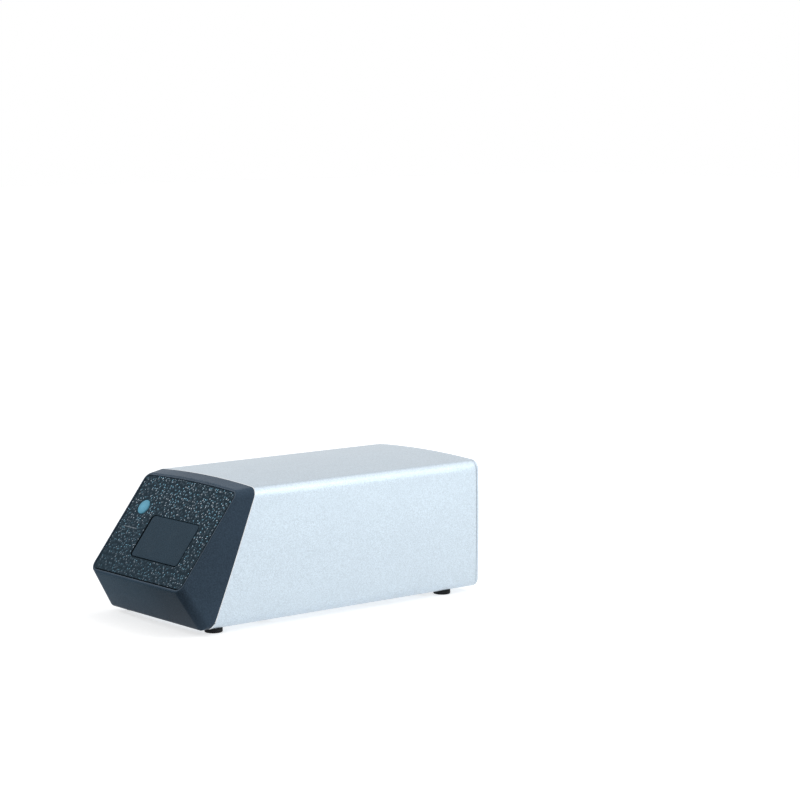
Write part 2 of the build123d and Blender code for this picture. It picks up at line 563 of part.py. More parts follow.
# Laser module on its saddle, shining along +X at the scan mirror
laser = rod_x(MIRROR_Y, BEAM_Z, 5.5, (-38, -14), SIDES)
laser += rod_x(MIRROR_Y, BEAM_Z, 4.4, (-14, -10), SIDES)
laser -= rod_x(MIRROR_Y, BEAM_Z, 2.0, (-12, -9), SIDES)
save("laser_module", laser)
saddle = block((-34, -18), (MIRROR_Y - 9, MIRROR_Y + 9), (DECK_Z[1], BEAM_Z + 1.5))
saddle = chamfer(saddle.edges().filter_by(Axis.X).sort_by(Axis.Z)[-2:], 2)
saddle -= rod_x(MIRROR_Y, BEAM_Z, 5.5, (-40, -10), SIDES)
save("laser_saddle", saddle)

# Scanner motor in the deck, and the mirror that swings about its upright shaft
motor = rod_z(MOUTH_X, MIRROR_Y, 6.0, (44, DECK_Z[1]), SIDES)
motor += rod_z(MOUTH_X, MIRROR_Y, 8.0, (DECK_Z[1], DECK_Z[1] + 1.4), SIDES)
motor -= rod_z(MOUTH_X, MIRROR_Y, 1.5 + RUN_GAP, (50, 70), SIDES, True)
save("scanner_motor", motor)
mirror = rod_z(MOUTH_X, MIRROR_Y, 1.5, (51, 63.5), SIDES)
mirror += rod_z(MOUTH_X, MIRROR_Y, 2.6, (62, 64), SIDES)
blade = Pos(MOUTH_X, MIRROR_Y, BEAM_Z) * Rot(0, 0, 45) * Box(1.4, 9, 7)
mirror += blade
save("scan_mirror", mirror)

# Scan lens, a slice with a flat and a bowed face
lens = Line((-13, 0), (13, 0)) + Line((13, 0), (13, 3)) + ThreePointArc((13, 3), (0, 6.5), (-13, 3))
lens += Line((-13, 3), (-13, 0))
lens = extrude(Pos(MOUTH_X, 119, DECK_Z[1]) * make_face(lens), 13)
save("scan_lens", lens)

# Fold mirror strip at 45 degrees over the slit, and its mount
strip = Pos(MOUTH_X, SCAN_Y, BEAM_Z) * Rot(45, 0, 0) * Pos(0, 0, 1.0) * Box(40, 12, 2.0)
save("fold_mirror", strip)
lift = 2.0 * 2 ** 0.5
back = BEAM_Z - SCAN_Y + lift
wedge = Polyline((65, DECK_Z[1]), (DECK_Z[1] - back, DECK_Z[1]), (73.5 - back, 73.5), (81, 75),
                 (65, 65), (65, DECK_Z[1]))
wedge = extrude(Plane.YZ * make_face(wedge), 20, both=True)
save("fold_mirror_mount", Pos(MOUTH_X, 0, 0) * wedge)

# Light guide beside the scan line, filter and photomultiplier
LIGHT = (88.3, 49.5)
PMT_R = 8.0
mouth_end = Plane.YZ.offset(-11) * Pos(LIGHT[0], 53.2) * Rectangle(7.4, 9.4)
eye = Plane.YZ.offset(-19) * Pos(LIGHT[0], LIGHT[1]) * Rectangle(9.6, 9.6)
guide = extrude(mouth_end, 37) + loft([eye.face(), mouth_end.face()], ruled=True)
save("light_guide", guide)
save("blue_filter", rod_x(LIGHT[0], LIGHT[1], 7.0, (-21, -19), SIDES))
tube = rod_x(LIGHT[0], LIGHT[1], PMT_R, (-35, -21), SIDES)
tube += Part() + [block((-38, -35), (LIGHT[0] + dy - 0.4, LIGHT[0] + dy + 0.4),
                        (LIGHT[1] + dz - 0.4, LIGHT[1] + dz + 0.4))
                  for dy in (-4, 0, 4) for dz in (-4, 4)]
save("photomultiplier", tube)
clamp = rod_x(LIGHT[0], LIGHT[1], PMT_R + 1.6, (-31, -25), SIDES)
clamp = clamp & block((-40, 0), (70, 110), (35, 58))
clamp += block((-31, -25), (LIGHT[0] - 14, LIGHT[0] + 14), (56, DECK_Z[0]))
clamp -= rod_x(LIGHT[0], LIGHT[1], PMT_R, (-40, -20), SIDES)
save("photomultiplier_clamp", clamp)

# Erase lamps over the way out
board = block((-15, 27), (98, 112), (54, 55.4))
for x in (-11, 23):
    board += hex_post(x, 105, 4.0, (55.4, DECK_Z[0]))
save("erase_board", board)
lamps = [block((x - 1.5, x + 1.5), (y - 1.5, y + 1.5), (53, 54))
         for x in range(-12, 25, 6) for y in (101.5, 108.5)]
save("erase_lamps", Compound(children=lamps))

# Connector board at the rear, on posts and on the motor
board = block((-40, 8), (168, 205.5), (50, 51.6))
for x, y, low in ((-36, 172, CHASSIS_Z[1]), (-36, 193, CHASSIS_Z[1]), (2, 188, 45)):
    board += hex_post(x, y, 5.0, (low, 50))
save("connector_board", board)
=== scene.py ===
"""Looks of a desktop imaging-plate scanner, laid out as a Blender add-on and run as a script.

Lengths in the functions are millimetres in the maker's own frame: X across, Z up from the
table, and Y measured back from the nose line of the raked front. placed() turns them into
metres in the frame's coordinates, whose origin lies under the middle of the device.
"""
import math

import bmesh
import bpy
import numpy as np
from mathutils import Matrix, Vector
from bpy.props import FloatProperty, FloatVectorProperty, PointerProperty


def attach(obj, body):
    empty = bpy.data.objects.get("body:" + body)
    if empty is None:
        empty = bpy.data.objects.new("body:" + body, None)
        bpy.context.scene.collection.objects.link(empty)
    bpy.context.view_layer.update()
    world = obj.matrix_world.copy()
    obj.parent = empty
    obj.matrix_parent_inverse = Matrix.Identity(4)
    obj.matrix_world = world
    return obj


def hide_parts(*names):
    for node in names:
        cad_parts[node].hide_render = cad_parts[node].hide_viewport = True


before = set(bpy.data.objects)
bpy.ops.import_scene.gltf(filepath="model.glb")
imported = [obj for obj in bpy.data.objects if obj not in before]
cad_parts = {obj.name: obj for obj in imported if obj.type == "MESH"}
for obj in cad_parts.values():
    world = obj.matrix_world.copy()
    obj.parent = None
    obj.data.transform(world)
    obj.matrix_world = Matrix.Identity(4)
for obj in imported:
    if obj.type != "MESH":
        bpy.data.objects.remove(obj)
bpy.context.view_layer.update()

bl_info = {
    "name": "Imaging-plate scanner",
    "version": (1, 0, 0),
    "blender": (4, 5, 0),
    "location": "3D View > Sidebar > Scanner",
    "description": "Builds the surfaces and finishes of a desktop imaging-plate scanner",
    "category": "Add Mesh",
}

# A millimetre in metres, the device's length, and how far behind the nose the frame's origin lies
MM = 0.001
LENGTH = 209.3
SHIFT = LENGTH / 2

# Sleeve section: half width to the side's ends, floor, shoulder, bows and corner radii; its wall,
# the points on each half's foot, corner, side, corner and crown, its rear end with the rounding
# there, and the seam behind it
TUBE = dict(half=47.4, low=2.8, shoulder=77.35, bow=0.6, crown=1.65, r_low=5.5, r_top=5.5)
WALL = 2.2
TUBE_COUNTS = (24, 14, 40, 14, 44)
SLEEVE_END = 207.6
END_ROUND = 0.3
REAR_SEAM = 0.1

# Raked front: nose and brow of the panel plane as (y, z), its outline in that plane, the width of
# the bezel's lip round the panel, the panel's gap in it, and the depths of its pocket and its face
NOSE = np.array([0.0, 25.3])
BROW = np.array([40.3, 77.5])
SLOPE = float(np.hypot(*(BROW - NOSE)))
UP = (BROW - NOSE) / SLOPE
OUT = np.array([-UP[1], UP[0]])
FRONT = dict(half=44.3, low=0.0, shoulder=SLOPE - 1.5, bow=0.0, crown=1.5, r_low=5.4, r_top=4.8)
LIP = 1.3
PANEL_GAP = 0.15
POCKET = 1.8
PANEL_TOP = 0.2

# Raked joint between bezel and sleeve, through (y, z), and the chin's end on its underside
JOINT_LOW = np.array([18.8, 2.8])
JOINT_HIGH = np.array([49.6, 79.0])
JOINT_RISE = (JOINT_HIGH[1] - JOINT_LOW[1]) / (JOINT_HIGH[0] - JOINT_LOW[0])
CHIN_BACK = 13.8

# Tray mouth: centre (x, z), half sizes and corner radius; the tray front's gap in it and the depth
# of its face below the front plane
MOUTH = dict(x=6.0, z=46.55, half_x=22.5, half_z=10.65, radius=2.4)
TRAY_GAP = 0.35
TRAY_RECESS = 0.4

# Status window on the panel: x, distance up the slope, radius
WINDOW = (-29.5, 43.8, 4.6)

# Plain printed line on the panel: middle x, distance up the slope, half sizes
LINE_X = -30.8
LINE_UP = 30.1
LINE_HALF = (6.4, 0.3)

# Panel: rows of its grid from the mouth to the rim, and the rounding at both
PANEL_ROWS = 40
PANEL_EDGE = 0.32

# Recess in the panel for the status window: its depth, and the radii past the window's own
# between which it slopes
RECESS = dict(depth=0.6, outer=0.45, inner=-0.15)

# How far fitted parts sit inside the sleeve, the bezel's spigot as (inset, distance behind the
# joint), and the back of the bezel's front wall as (inset, depth)
INSIDE = WALL + 0.15
SPIGOT = [(INSIDE, 0.0), (INSIDE, 4.0), (2.6, 4.3), (4.25, 4.3), (4.25, 0.0)]
FRONT_BACK = (4.3, 4.0)

# Tray front: thickness of its face, depth and thickness of its skirt, and its two posts
TRAY_FACE = 3.2
TRAY_SKIRT = 5.0
TRAY_WALL = 2.0
POSTS = dict(x=(-13, 13), half=3.5, low=39.0, high=45.0, start=2.6, end=24.0)

# Rear panel: rim, its rounding and width, recessed field, its back, and its middle
REAR = LENGTH
REAR_ROUND = 0.45
REAR_LIP = 2.0
FIELD = REAR - 1.4
FIELD_BACK = FIELD - 1.8
REAR_MIDDLE = np.array([0.0, 40.9])

# What sits in the rear panel, as (x, z), and the half sizes or radius of each opening
SWITCH, SWITCH_HOLE = (28.0, 55.0), (6.6, 9.6)
SOCKET, SOCKET_HOLE = (-8.0, 57.6), (6.2, 5.6)
JACK, JACK_HOLE = (-30.0, 58.0), 4.0
VENTS = dict(count=7, first=-36.0, pitch=3.6, half=0.85, low=17.85, high=30.15)

# Screw channels of the sleeve as (x, z), their radius and bore, how far they stay short of the
# joint and of the rear end, and the rear screws' holes
BOSSES = [(-42.6, 8.2), (42.6, 8.2), (-42.4, 72.6), (42.4, 72.6)]
BOSS = 3.4
BORE = 1.25
BOSS_SHORT = (9.0, 1.6)
SCREW_HOLE = 1.5

# Rails on the sleeve's floor: x, height of the middle, half sizes and stretch along Y
RAILS = dict(x=(-34, 34), z=5.9, half=(3.0, 1.7), near=40.0, far=205.9)

# Screws in the sleeve's floor and the feet, as (x, y)
FLOOR_SCREWS = [(x, y) for x in (-34, 34) for y in (62, 178)]
FEET = [(x, y) for x in (-38.5, 38.5) for y in (26, 189)]

# Lead screw: axis as (x, z), lead, starts, threaded stretch, core radius, height of the thread and
# the shares of a start's pitch between which its flank rises, journal radius and the screw's ends
DRIVE = (MOUTH["x"], 31.0)
LEAD, STARTS = 8.0, 4
THREAD = (26.5, 153.5)
CORE, CREST = 3.3, 0.68
FLANK = (0.28, 0.62)
JOURNAL = 3.0
DRIVE_ENDS = (20.5, 167.0)

# Axes of turned shapes, and colours of the stage
ALONG, UPRIGHT = (0, 1, 0), (0, 0, 1)
WHITE = (1.0, 1.0, 1.0)
BLACK = (0.0, 0.0, 0.0)

# Glow of the floor near the device and far from it, at these distances, and what reflections
# see more of it
FLOOR_GLOW = (0.62, 0.72)
GLOW_REACH = (0.42, 1.0)
GLOSS_GLOW = 0.2

# Painted reflection on the floor before the nose, a sheet that the camera doesn't see and the chin
# reflects dark, in metres: where it fades in along X, where it ends along Y, its colour, and where
# this turns black along X
PAINTED_REFLECTION_X = (-0.16, -0.02)
PAINTED_REFLECTION_Y = (-0.12, -0.09)
PAINTED_REFLECTION_BLUE = (0.10, 0.38, 0.48)
PAINTED_REFLECTION_TURN = (-0.04, 0.03)

# Lamps: name, watts, size in metres, place, what they aim at, and colour
LAMPS = [
    ("overhead", 5.2, (1.5, 1.5), (0.3, 0.75, 1.2), (0.0, 0.0, 0.0), WHITE),
    ("right_bank", 3.0, (0.5, 1.2), (1.0, 0.78, 0.6), (0.04, -0.06, 0.04), (0.92, 0.98, 1.0)),
    ("key", 5.5, (0.14, 0.14), (-1.28, -0.56, 0.92), (0.0, -0.08, 0.05), (0.95, 0.98, 1.0)),
]


def look(name):
    """A colour of the scene's look."""
    return tuple(getattr(bpy.context.scene.scanner_look, name))


def detail(name):
    """A size of the scene's details in millimetres."""
    return getattr(bpy.context.scene.scanner_sizes, name) / MM


def placed(points):
    """Millimetres in the maker's frame to metres in the shared frame: y less half the length."""
    points = np.asarray(points, float)
    return (points - np.array([0.0, SHIFT, 0.0])) * MM


def arc(centre, radius, start, end, count):
    """count points on a circle from one angle to another, the end left out, and their normals."""
    angle = start + (end - start) * np.arange(count) / count
    normal = np.stack([np.cos(angle), np.sin(angle)], 1)
    return np.asarray(centre) + radius * normal, normal


def bearing(vector):
    """Angle of a flat vector."""
    return math.atan2(vector[1], vector[0])


def outline(counts, half, low, shoulder, bow, crown, r_low, r_top):
    """Rounded section with a flat foot, sides and top that are arcs through their middles, and
    corner arcs tangent to both neighbours. Each half is foot, corner, side, corner and crown with
    the given counts of points, from the middle of the foot to the middle of the crown; the other
    half is its mirror. Returns points and outward normals, anticlockwise. A straight side is an
    arc with hardly any bow."""
    bow = max(bow, 1e-5)
    rise = (shoulder - low) / 2
    r_side = (rise ** 2 + bow ** 2) / (2 * bow)
    r_crown = (half ** 2 + crown ** 2) / (2 * crown)
    c_side = np.array([half + bow - r_side, (low + shoulder) / 2])
    c_crown = np.array([0.0, shoulder + crown - r_crown])
    foot_z = low + r_low
    foot_x = c_side[0] + math.sqrt((r_side - r_low) ** 2 - (foot_z - c_side[1]) ** 2)
    c_foot = np.array([foot_x, foot_z])
    link = c_crown - c_side
    span = np.hypot(*link)
    along = ((r_side - r_top) ** 2 - (r_crown - r_top) ** 2 + span ** 2) / (2 * span)
    across = math.sqrt((r_side - r_top) ** 2 - along ** 2)
    normal = np.array([-link[1], link[0]]) / span
    both = [c_side + along * link / span + side * across * normal for side in (-1, 1)]
    c_top = max(both, key=lambda point: point[0] + point[1])
    turn_side = bearing(c_foot - c_side)
    turn_top = bearing(c_top - c_side)
    turn_crown = bearing(c_top - c_crown)
    step = np.arange(counts[0])[:, None] / counts[0]
    foot = (step * np.array([foot_x, 0.0]) + np.array([0.0, low]),
            np.tile([0.0, -1.0], (counts[0], 1)))
    parts = [foot,
             arc(c_foot, r_low, -math.pi / 2, turn_side, counts[1]),
             arc(c_side, r_side, turn_side, turn_top, counts[2]),
             arc(c_top, r_top, turn_top, turn_crown, counts[3]),
             arc(c_crown, r_crown, turn_crown, math.pi / 2, counts[4])]
    points = np.concatenate([part[0] for part in parts])
    normals = np.concatenate([part[1] for part in parts])
    flip = np.array([-1.0, 1.0])
    top = np.array([[0.0, shoulder + crown]])
    points = np.concatenate([points, top, points[:0:-1] * flip])
    normals = np.concatenate([normals, [[0.0, 1.0]], normals[:0:-1] * flip])
    return points, normals


def half_width(z, **section):
    """Half width of a section at each height: its right-hand outline read sideways."""
    foot, crown = 4, 4
    points = outline((foot, 40, 120, 40, crown), **section)[0]
    right = points[foot:len(points) // 2 - crown + 1]
    return np.interp(z, right[:, 1], right[:, 0])


def on_front(x, up, depth):
    """Points at x and a distance up the raked front, a depth below its plane."""
    x, up, depth = np.broadcast_arrays(x, up, depth)
    y = NOSE[0] + up * UP[0] - depth * OUT[0]
    z = NOSE[1] + up * UP[1] - depth * OUT[1]
    return np.stack([x, y, z], -1)


def front_ring(counts, inset, depth):
    """The front outline drawn in by an inset, at a depth below the front plane."""
    points, normals = outline(counts, **FRONT)
    flat = points - inset * normals
    return on_front(flat[:, 0], flat[:, 1], depth)


def joint_y(z):
    """Y of the raked joint plane at a height."""
    return JOINT_LOW[0] + (z - JOINT_LOW[1]) / JOINT_RISE


def tube_ring(counts, inset):
    """The sleeve's section drawn in by an inset, as x and z."""
    points, normals = outline(counts, **TUBE)
    return points - inset * normals


def at_y(flat, y):
    """Flat (x, z) points stood up at one y, or at one each."""
    return np.stack([flat[:, 0], np.broadcast_to(y, len(flat)), flat[:, 1]], 1)


def rounding(radius, count):
    """Steps of a quarter round: how far in from the side and how far short of the end."""
    turn = np.linspace(0, math.pi / 2, count)
    return list(zip(radius * (1 - np.cos(turn)), radius * (1 - np.sin(turn))))


def mouth_reach(direction, gap=0.0):
    """Distance from the mouth's middle to its rounded rectangle along flat directions (x, z): the
    nearer of the two straight sides, or within a corner the far meeting with the corner's circle."""
    half = np.array([MOUTH["half_x"] - gap, MOUTH["half_z"] - gap])
    radius = MOUTH["radius"] - gap
    unit = direction / np.linalg.norm(direction, axis=1, keepdims=True)
    size = np.maximum(np.abs(unit), 1e-9)
    straight = np.min(half / size, axis=1)
    centre = half - radius
    hit = size * straight[:, None]
    corner = np.all(hit > centre, axis=1)
    dot = size @ centre
    round_ = dot + np.sqrt(np.maximum(dot ** 2 - centre @ centre + radius ** 2, 0.0))
    return unit * np.where(corner, round_, straight)[:, None]


def mouth_ring(direction, depth, gap=0.0):
    """The level mouth's outline where it passes a depth below the front plane, along directions."""
    flat = mouth_reach(direction, gap)
    z = MOUTH["z"] + flat[:, 1]
    up = (z - NOSE[1] + depth * OUT[1]) / UP[1]
    return on_front(MOUTH["x"] + flat[:, 0], up, depth)


def mouth_bearings(ring):
    """Flat directions (x, z) from the mouth's middle to each point of a ring on the front."""
    return np.stack([ring[:, 0] - MOUTH["x"], ring[:, 2] - MOUTH["z"]], 1)


def smooth_max(a, b, reach):
    """Larger of two values, with the crossing rounded over a reach."""
    near = np.clip(reach - np.abs(a - b), 0, None) / reach
    return np.maximum(a, b) + near ** 2 * reach / 4


def smoothstep(low, high, value):
    """0 below low, 1 above high, and a smooth S between them."""
    t = np.clip((value - low) / (high - low), 0, 1)
    return t * t * (3 - 2 * t)


def quads(rows, columns, close_rows):
    """Corner numbers of the quads of a closed band whose last row may join its first."""
    down = np.arange(rows if close_rows else rows - 1)
    i, j = np.meshgrid(down, np.arange(columns), indexing="ij")
    k, m = (i + 1) % rows, (j + 1) % columns
    return np.stack([i * columns + j, i * columns + m, k * columns + m, k * columns + j],
                    -1).reshape(-1, 4)


class Shell:
    """A mesh put together from arrays: vertices in millimetres, quads or other faces, and a
    material number for each face."""

    def __init__(self):
        self.points = []
        self.faces = []
        self.marks = []
        self.count = 0

    def grid(self, rows, close_rows=False, mark=0):
        """Add rings of points, row by row. mark may give a number for each row of faces."""
        rows = np.asarray(rows, float)
        faces = quads(*rows.shape[:2], close_rows)
        bands = len(rows) if close_rows else len(rows) - 1
        self.points.append(rows.reshape(-1, 3))
        self.faces += (faces + self.count).tolist()
        self.marks += np.repeat(np.broadcast_to(mark, bands), len(faces) // bands).tolist()
        self.count += len(self.points[-1])
        return self

    def capped(self, rows):
        """Add a tube of rings whose first and last rings are closed by a flat face each."""
        start = self.count
        self.grid(rows)
        size = len(rows[0])
        first = list(range(start, start + size))[::-1]
        last = list(range(self.count - size, self.count))
        self.faces += [first, last]
        self.marks += [0, 0]
        return self

    def prism(self, flat, near, far):
        """Add a prism on flat (x, z) points, from one y to another."""
        return self.capped([at_y(flat, near), at_y(flat, far)])

    def box(self, middle, half, near, far):
        """Add a box round a middle (x, z) with half sizes, from one y to another."""
        corners = np.array([(-1, -1), (1, -1), (1, 1), (-1, 1)])
        return self.prism(np.array(middle) + corners * half, near, far)

    def lathe(self, profile, origin, axis, sides, close_rows=False):
        """Add a turned shape: each (radius, height) of the profile carried round an axis."""
        axis = np.asarray(axis, float) / np.linalg.norm(axis)
        side = np.cross(axis, [0.0, 0.0, 1.0])
        if np.linalg.norm(side) < 0.1:
            side = np.array([1.0, 0.0, 0.0])
        side /= np.linalg.norm(side)
        angle = 2 * np.pi * np.arange(sides) / sides
        spoke = np.cos(angle)[:, None] * side + np.sin(angle)[:, None] * np.cross(axis, side)
        radius, height = np.asarray(profile, float).T[:, :, None, None]
        return self.grid(np.asarray(origin, float) + radius * spoke[None] + height * axis, close_rows)

    def pin(self, radius, near, far, origin, axis, sides):
        """Add a cylinder from one height along an axis to another."""
        return self.lathe([(0, near), (radius, near), (radius, far), (0, far)], origin, axis, sides)

    def mesh(self, name):
        """The shell as mesh data, in metres."""
        data = bpy.data.meshes.new(name)
        points = placed(np.concatenate(self.points))
        data.from_pydata(points.tolist(), [], self.faces)
        data.polygons.foreach_set("material_index", self.marks)
        data.update()
        return data


def put(name, data):
    """A new object with some data, in the scene."""
    item = bpy.data.objects.new(name, data)
    bpy.context.scene.collection.objects.link(item)
    return item


def clean(data, merge):
    """Merge points nearer than a distance in millimetres and turn the faces outwards."""
    mesh = bmesh.new()
    mesh.from_mesh(data)
    bmesh.ops.remove_doubles(mesh, verts=mesh.verts, dist=merge * MM)
    bmesh.ops.dissolve_degenerate(mesh, edges=mesh.edges, dist=1e-3 * MM)
    bmesh.ops.recalc_face_normals(mesh, faces=mesh.faces)
    mesh.to_mesh(data)
    mesh.free()


def piece(name, shell, body, slot, replaces=(), sharp=35.0, merge=2e-3, trim=()):
    """Turn a shell into a finished piece: cleaned, edges sharper than an angle kept sharp, the
    finishes of its slot and its trim, its body, its slot and the nodes it stands for."""
    data = shell.mesh(name)
    clean(data, merge)
    for kind in (slot, *trim):
        data.materials.append(paint(kind))
    item = put(name, data)
    soften(item, sharp)
    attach(item, body)
    if replaces:
        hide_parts(*replaces)
    return item


def soften(item, sharp):
    """Shade a mesh smooth, with edges sharper than an angle in degrees kept sharp."""
    data = item.data
    data.polygons.foreach_set("use_smooth", np.ones(len(data.polygons), bool))
    data.set_sharp_from_angle(angle=math.radians(sharp))


def cut(item, shell, sharp=35.0):
    """Cut a closed shell out of a piece and keep the result as its mesh. It is an error if nothing
    is left."""
    tool = put("cutter", shell.mesh("cutter"))
    clean(tool.data, 1e-3)
    step = item.modifiers.new("cut", "BOOLEAN")
    step.operation = "DIFFERENCE"
    step.solver = "EXACT"
    step.object = tool
    graph = bpy.context.evaluated_depsgraph_get()
    made = bpy.data.meshes.new_from_object(item.evaluated_get(graph))
    if not made.polygons:
        raise RuntimeError(item.name + " is lost in its cut")
    item.modifiers.clear()
    item.data = made
    bpy.data.objects.remove(tool)
    soften(item, sharp)


def math_node(operation, swapped=False):
    """A method that adds a Math node of one kind for a Value and, unless it takes one term,
    another value. swapped puts the other value first."""

    def method(self, *other):
        """The Math node's result."""
        terms = (*other, self) if swapped else (self, *other)
        return self.nodes.add("ShaderNodeMath", dict(enumerate(terms)), operation=operation)

    return method


class Value:
    """A shader socket that takes part in sums: each operator adds a Math node."""

    def __init__(self, nodes, socket):
        self.nodes = nodes
        self.socket = socket

    __add__ = math_node("ADD")
    __radd__ = math_node("ADD", swapped=True)
    __sub__ = math_node("SUBTRACT")
    __rsub__ = math_node("SUBTRACT", swapped=True)
    __mul__ = math_node("MULTIPLY")
    __rmul__ = math_node("MULTIPLY", swapped=True)
    __truediv__ = math_node("DIVIDE")
    __pow__ = math_node("POWER")
    __lt__ = math_node("LESS_THAN")
    __abs__ = math_node("ABSOLUTE")
    wave = math_node("SINE")
    larger = math_node("MAXIMUM")
    smaller = math_node("MINIMUM")

    def stretch(self, low, high, bottom=0.0, top=1.0):
        """Carry low..high to bottom..top, kept within them."""
        return self.nodes.add("ShaderNodeMapRange", {
            "Value": self, "From Min": low, "From Max": high, "To Min": bottom, "To Max": top})


def darker(colour, share):
    """A colour at a share of its light."""
    return tuple(channel * share for channel in colour)


class Nodes:
    """The shader nodes of a material or of the world."""

    def __init__(self, owner):
        owner.use_nodes = True
        self.tree = owner.node_tree
        self.tree.nodes.clear()

    def add(self, kind, inputs=None, out=0, **settings):
        """Add a node: its settings first, then its sockets' values or links."""
        node = self.tree.nodes.new(kind)
        for key, value in settings.items():
            setattr(node, key, value)
        for key, value in (inputs or {}).items():
            socket = node.inputs[key]
            if isinstance(value, Value):
                self.tree.links.new(value.socket, socket)
            elif isinstance(value, (tuple, list)) and len(value) == 3 and socket.type == "RGBA":
                socket.default_value = (*value, 1.0)
            else:
                socket.default_value = value
        return Value(self, node.outputs[out]) if node.outputs else None

    def blend(self, share, first, second):
        """First colour at share 0, second at share 1."""
        return self.add("ShaderNodeMix", {0: share, 6: first, 7: second}, out=2, data_type="RGBA")

    def shades(self, share, colour, first, second):
        """One colour at a first share of its light at 0, and at a second at 1."""
        return self.blend(share, darker(colour, first), darker(colour, second))

    def ray(self, kind):
        """1 on one kind of ray, else 0."""
        return self.add("ShaderNodeLightPath", out=f"Is {kind} Ray")

    def seen(self):
        """1 on what the camera sees, straight or in metal and glass, else 0."""
        return self.ray("Camera").larger(self.ray("Glossy")).larger(self.ray("Transmission"))


class Finish(Nodes):
    """One material and the patterns that its shader is made of."""

    def __init__(self, name):
        self.material = bpy.data.materials.new(name)
        super().__init__(self.material)
        self.place = self.add("ShaderNodeTexCoord", out="Object")

    def noise(self, size, octaves=2.0, rough=0.5, place=None):
        """Cloudy noise whose features are about size millimetres."""
        return self.add("ShaderNodeTexNoise", {
            "Vector": place or self.place, "Scale": 1 / (size * MM), "Detail": octaves,
            "Roughness": rough})

    def cells(self, size, out="Distance", place=None, **settings):
        """Cell pattern whose cells are about size millimetres."""
        return self.add("ShaderNodeTexVoronoi", {
            "Vector": place or self.place, "Scale": 1 / (size * MM)}, out=out, **settings)

    def part(self, colour, channel="Red"):
        """One channel of a colour."""
        return self.add("ShaderNodeSeparateColor", {"Color": colour}, out=channel)

    def turned(self, scale, turn=(0.0, 0.0, 0.0)):
        """The object's own place, stretched or turned, for streaks."""
        return self.add("ShaderNodeMapping", {
            "Vector": self.place, "Scale": scale, "Rotation": turn})

    def axis(self, name):
        """One coordinate of the object's own place, in metres."""
        return self.add("ShaderNodeSeparateXYZ", {"Vector": self.place}, out=name)

    def bump(self, height, depth, under=None):
        """Normal from a height of 0..1 that stands for a depth in millimetres."""
        inputs = {"Height": height, "Distance": depth * MM, "Strength": 1.0}
        if under:
            inputs["Normal"] = under
        return self.add("ShaderNodeBump", inputs)

    def surface(self, colour, rough, normal=None, **fixed):
        """Close the material with a Principled shader. fixed gives its constant sockets."""
        inputs = {"Base Color": colour, "Roughness": rough}
        if normal:
            inputs["Normal"] = normal
        for key, value in fixed.items():
            inputs[key.replace("_", " ").title().replace("Ior", "IOR")] = value
        return self.close(self.add("ShaderNodeBsdfPrincipled", inputs))

    def close(self, shader):
        """Close the material with any shader."""
        self.add("ShaderNodeOutputMaterial", {"Surface": shader})
        return self.material


def blasted(name, colour, rough, grain):
    """Bead-blasted, anodised metal: fine pits, a soft mottle and the odd handling mark."""
    f = Finish(name)
    pits = f.noise(grain, 3.0, 0.7)
    fleck = f.part(f.cells(grain * 1.6, out="Color"))
    cloud = f.noise(22.0)
    smear = f.noise(6.0, 3.0, 0.6, place=f.turned((1.0, 0.35, 1.0)))
    share = (fleck * 0.55 + pits * 0.45).stretch(0.15, 0.85)
    tone = f.shades(share, colour, 0.82, 1.15)
    tone = f.blend(cloud.stretch(0.3, 0.7, 0.0, 0.25), tone, darker(colour, 0.93))
    gloss = (rough - 0.05) + pits * 0.06 + smear.stretch(0.35, 0.75, 0.0, 0.05)
    return f.surface(tone, gloss, f.bump(pits, 0.02), metallic=1.0)


def cut_edge(name, colour):
    """Bright cut metal: fine tool marks along the chamfer."""
    f = Finish(name)
    lines = f.noise(0.12, 2.0, 0.6, place=f.turned((1.0, 1.0, 0.25)))
    tone = f.blend(lines.stretch(0.3, 0.7), darker(colour, 0.88), colour)
    return f.surface(tone, 0.18 + lines * 0.12, f.bump(lines, 0.004), metallic=1.0)


def turned_metal(name, colour, rough, pitch=0.12, axis="Y"):
    """Machined metal: fine tool lines across an axis, faint stains and a varying polish."""
    f = Finish(name)
    lines = (f.axis(axis) * (2 * math.pi / (pitch * MM))).wave() * 0.5 + 0.5
    wobble = f.noise(1.2, 3.0, 0.6)
    stain = f.noise(9.0, 3.0, 0.6)
    tone = f.blend(stain.stretch(0.35, 0.75), colour, darker(colour, 0.82))
    gloss = rough + wobble * 0.12 + stain.stretch(0.4, 0.8, 0.0, 0.08)
    return f.surface(tone, gloss, f.bump(lines * 0.6 + wobble * 0.4, 0.004), metallic=1.0)


def sheet_metal(name, colour, rough):
    """Rolled sheet: short streaks along Y, a faint mottle and small scratches."""
    f = Finish(name)
    roll = f.noise(0.25, 4.0, 0.65, place=f.turned((1.0, 0.06, 1.0)))
    mottle = f.noise(14.0)
    nick = f.noise(2.2, 6.0, 0.75, place=f.turned((1.0, 0.2, 1.0), (0.0, 0.0, 0.6)))
    tone = f.blend(roll.stretch(0.3, 0.7), darker(colour, 0.86), colour)
    tone = f.blend(nick.stretch(0.66, 0.7, 0.0, 0.35), tone, darker(colour, 1.25))
    gloss = rough + roll * 0.1 + mottle.stretch(0.3, 0.7, 0.0, 0.08)
    return f.surface(tone, gloss, f.bump(roll, 0.006), metallic=1.0)


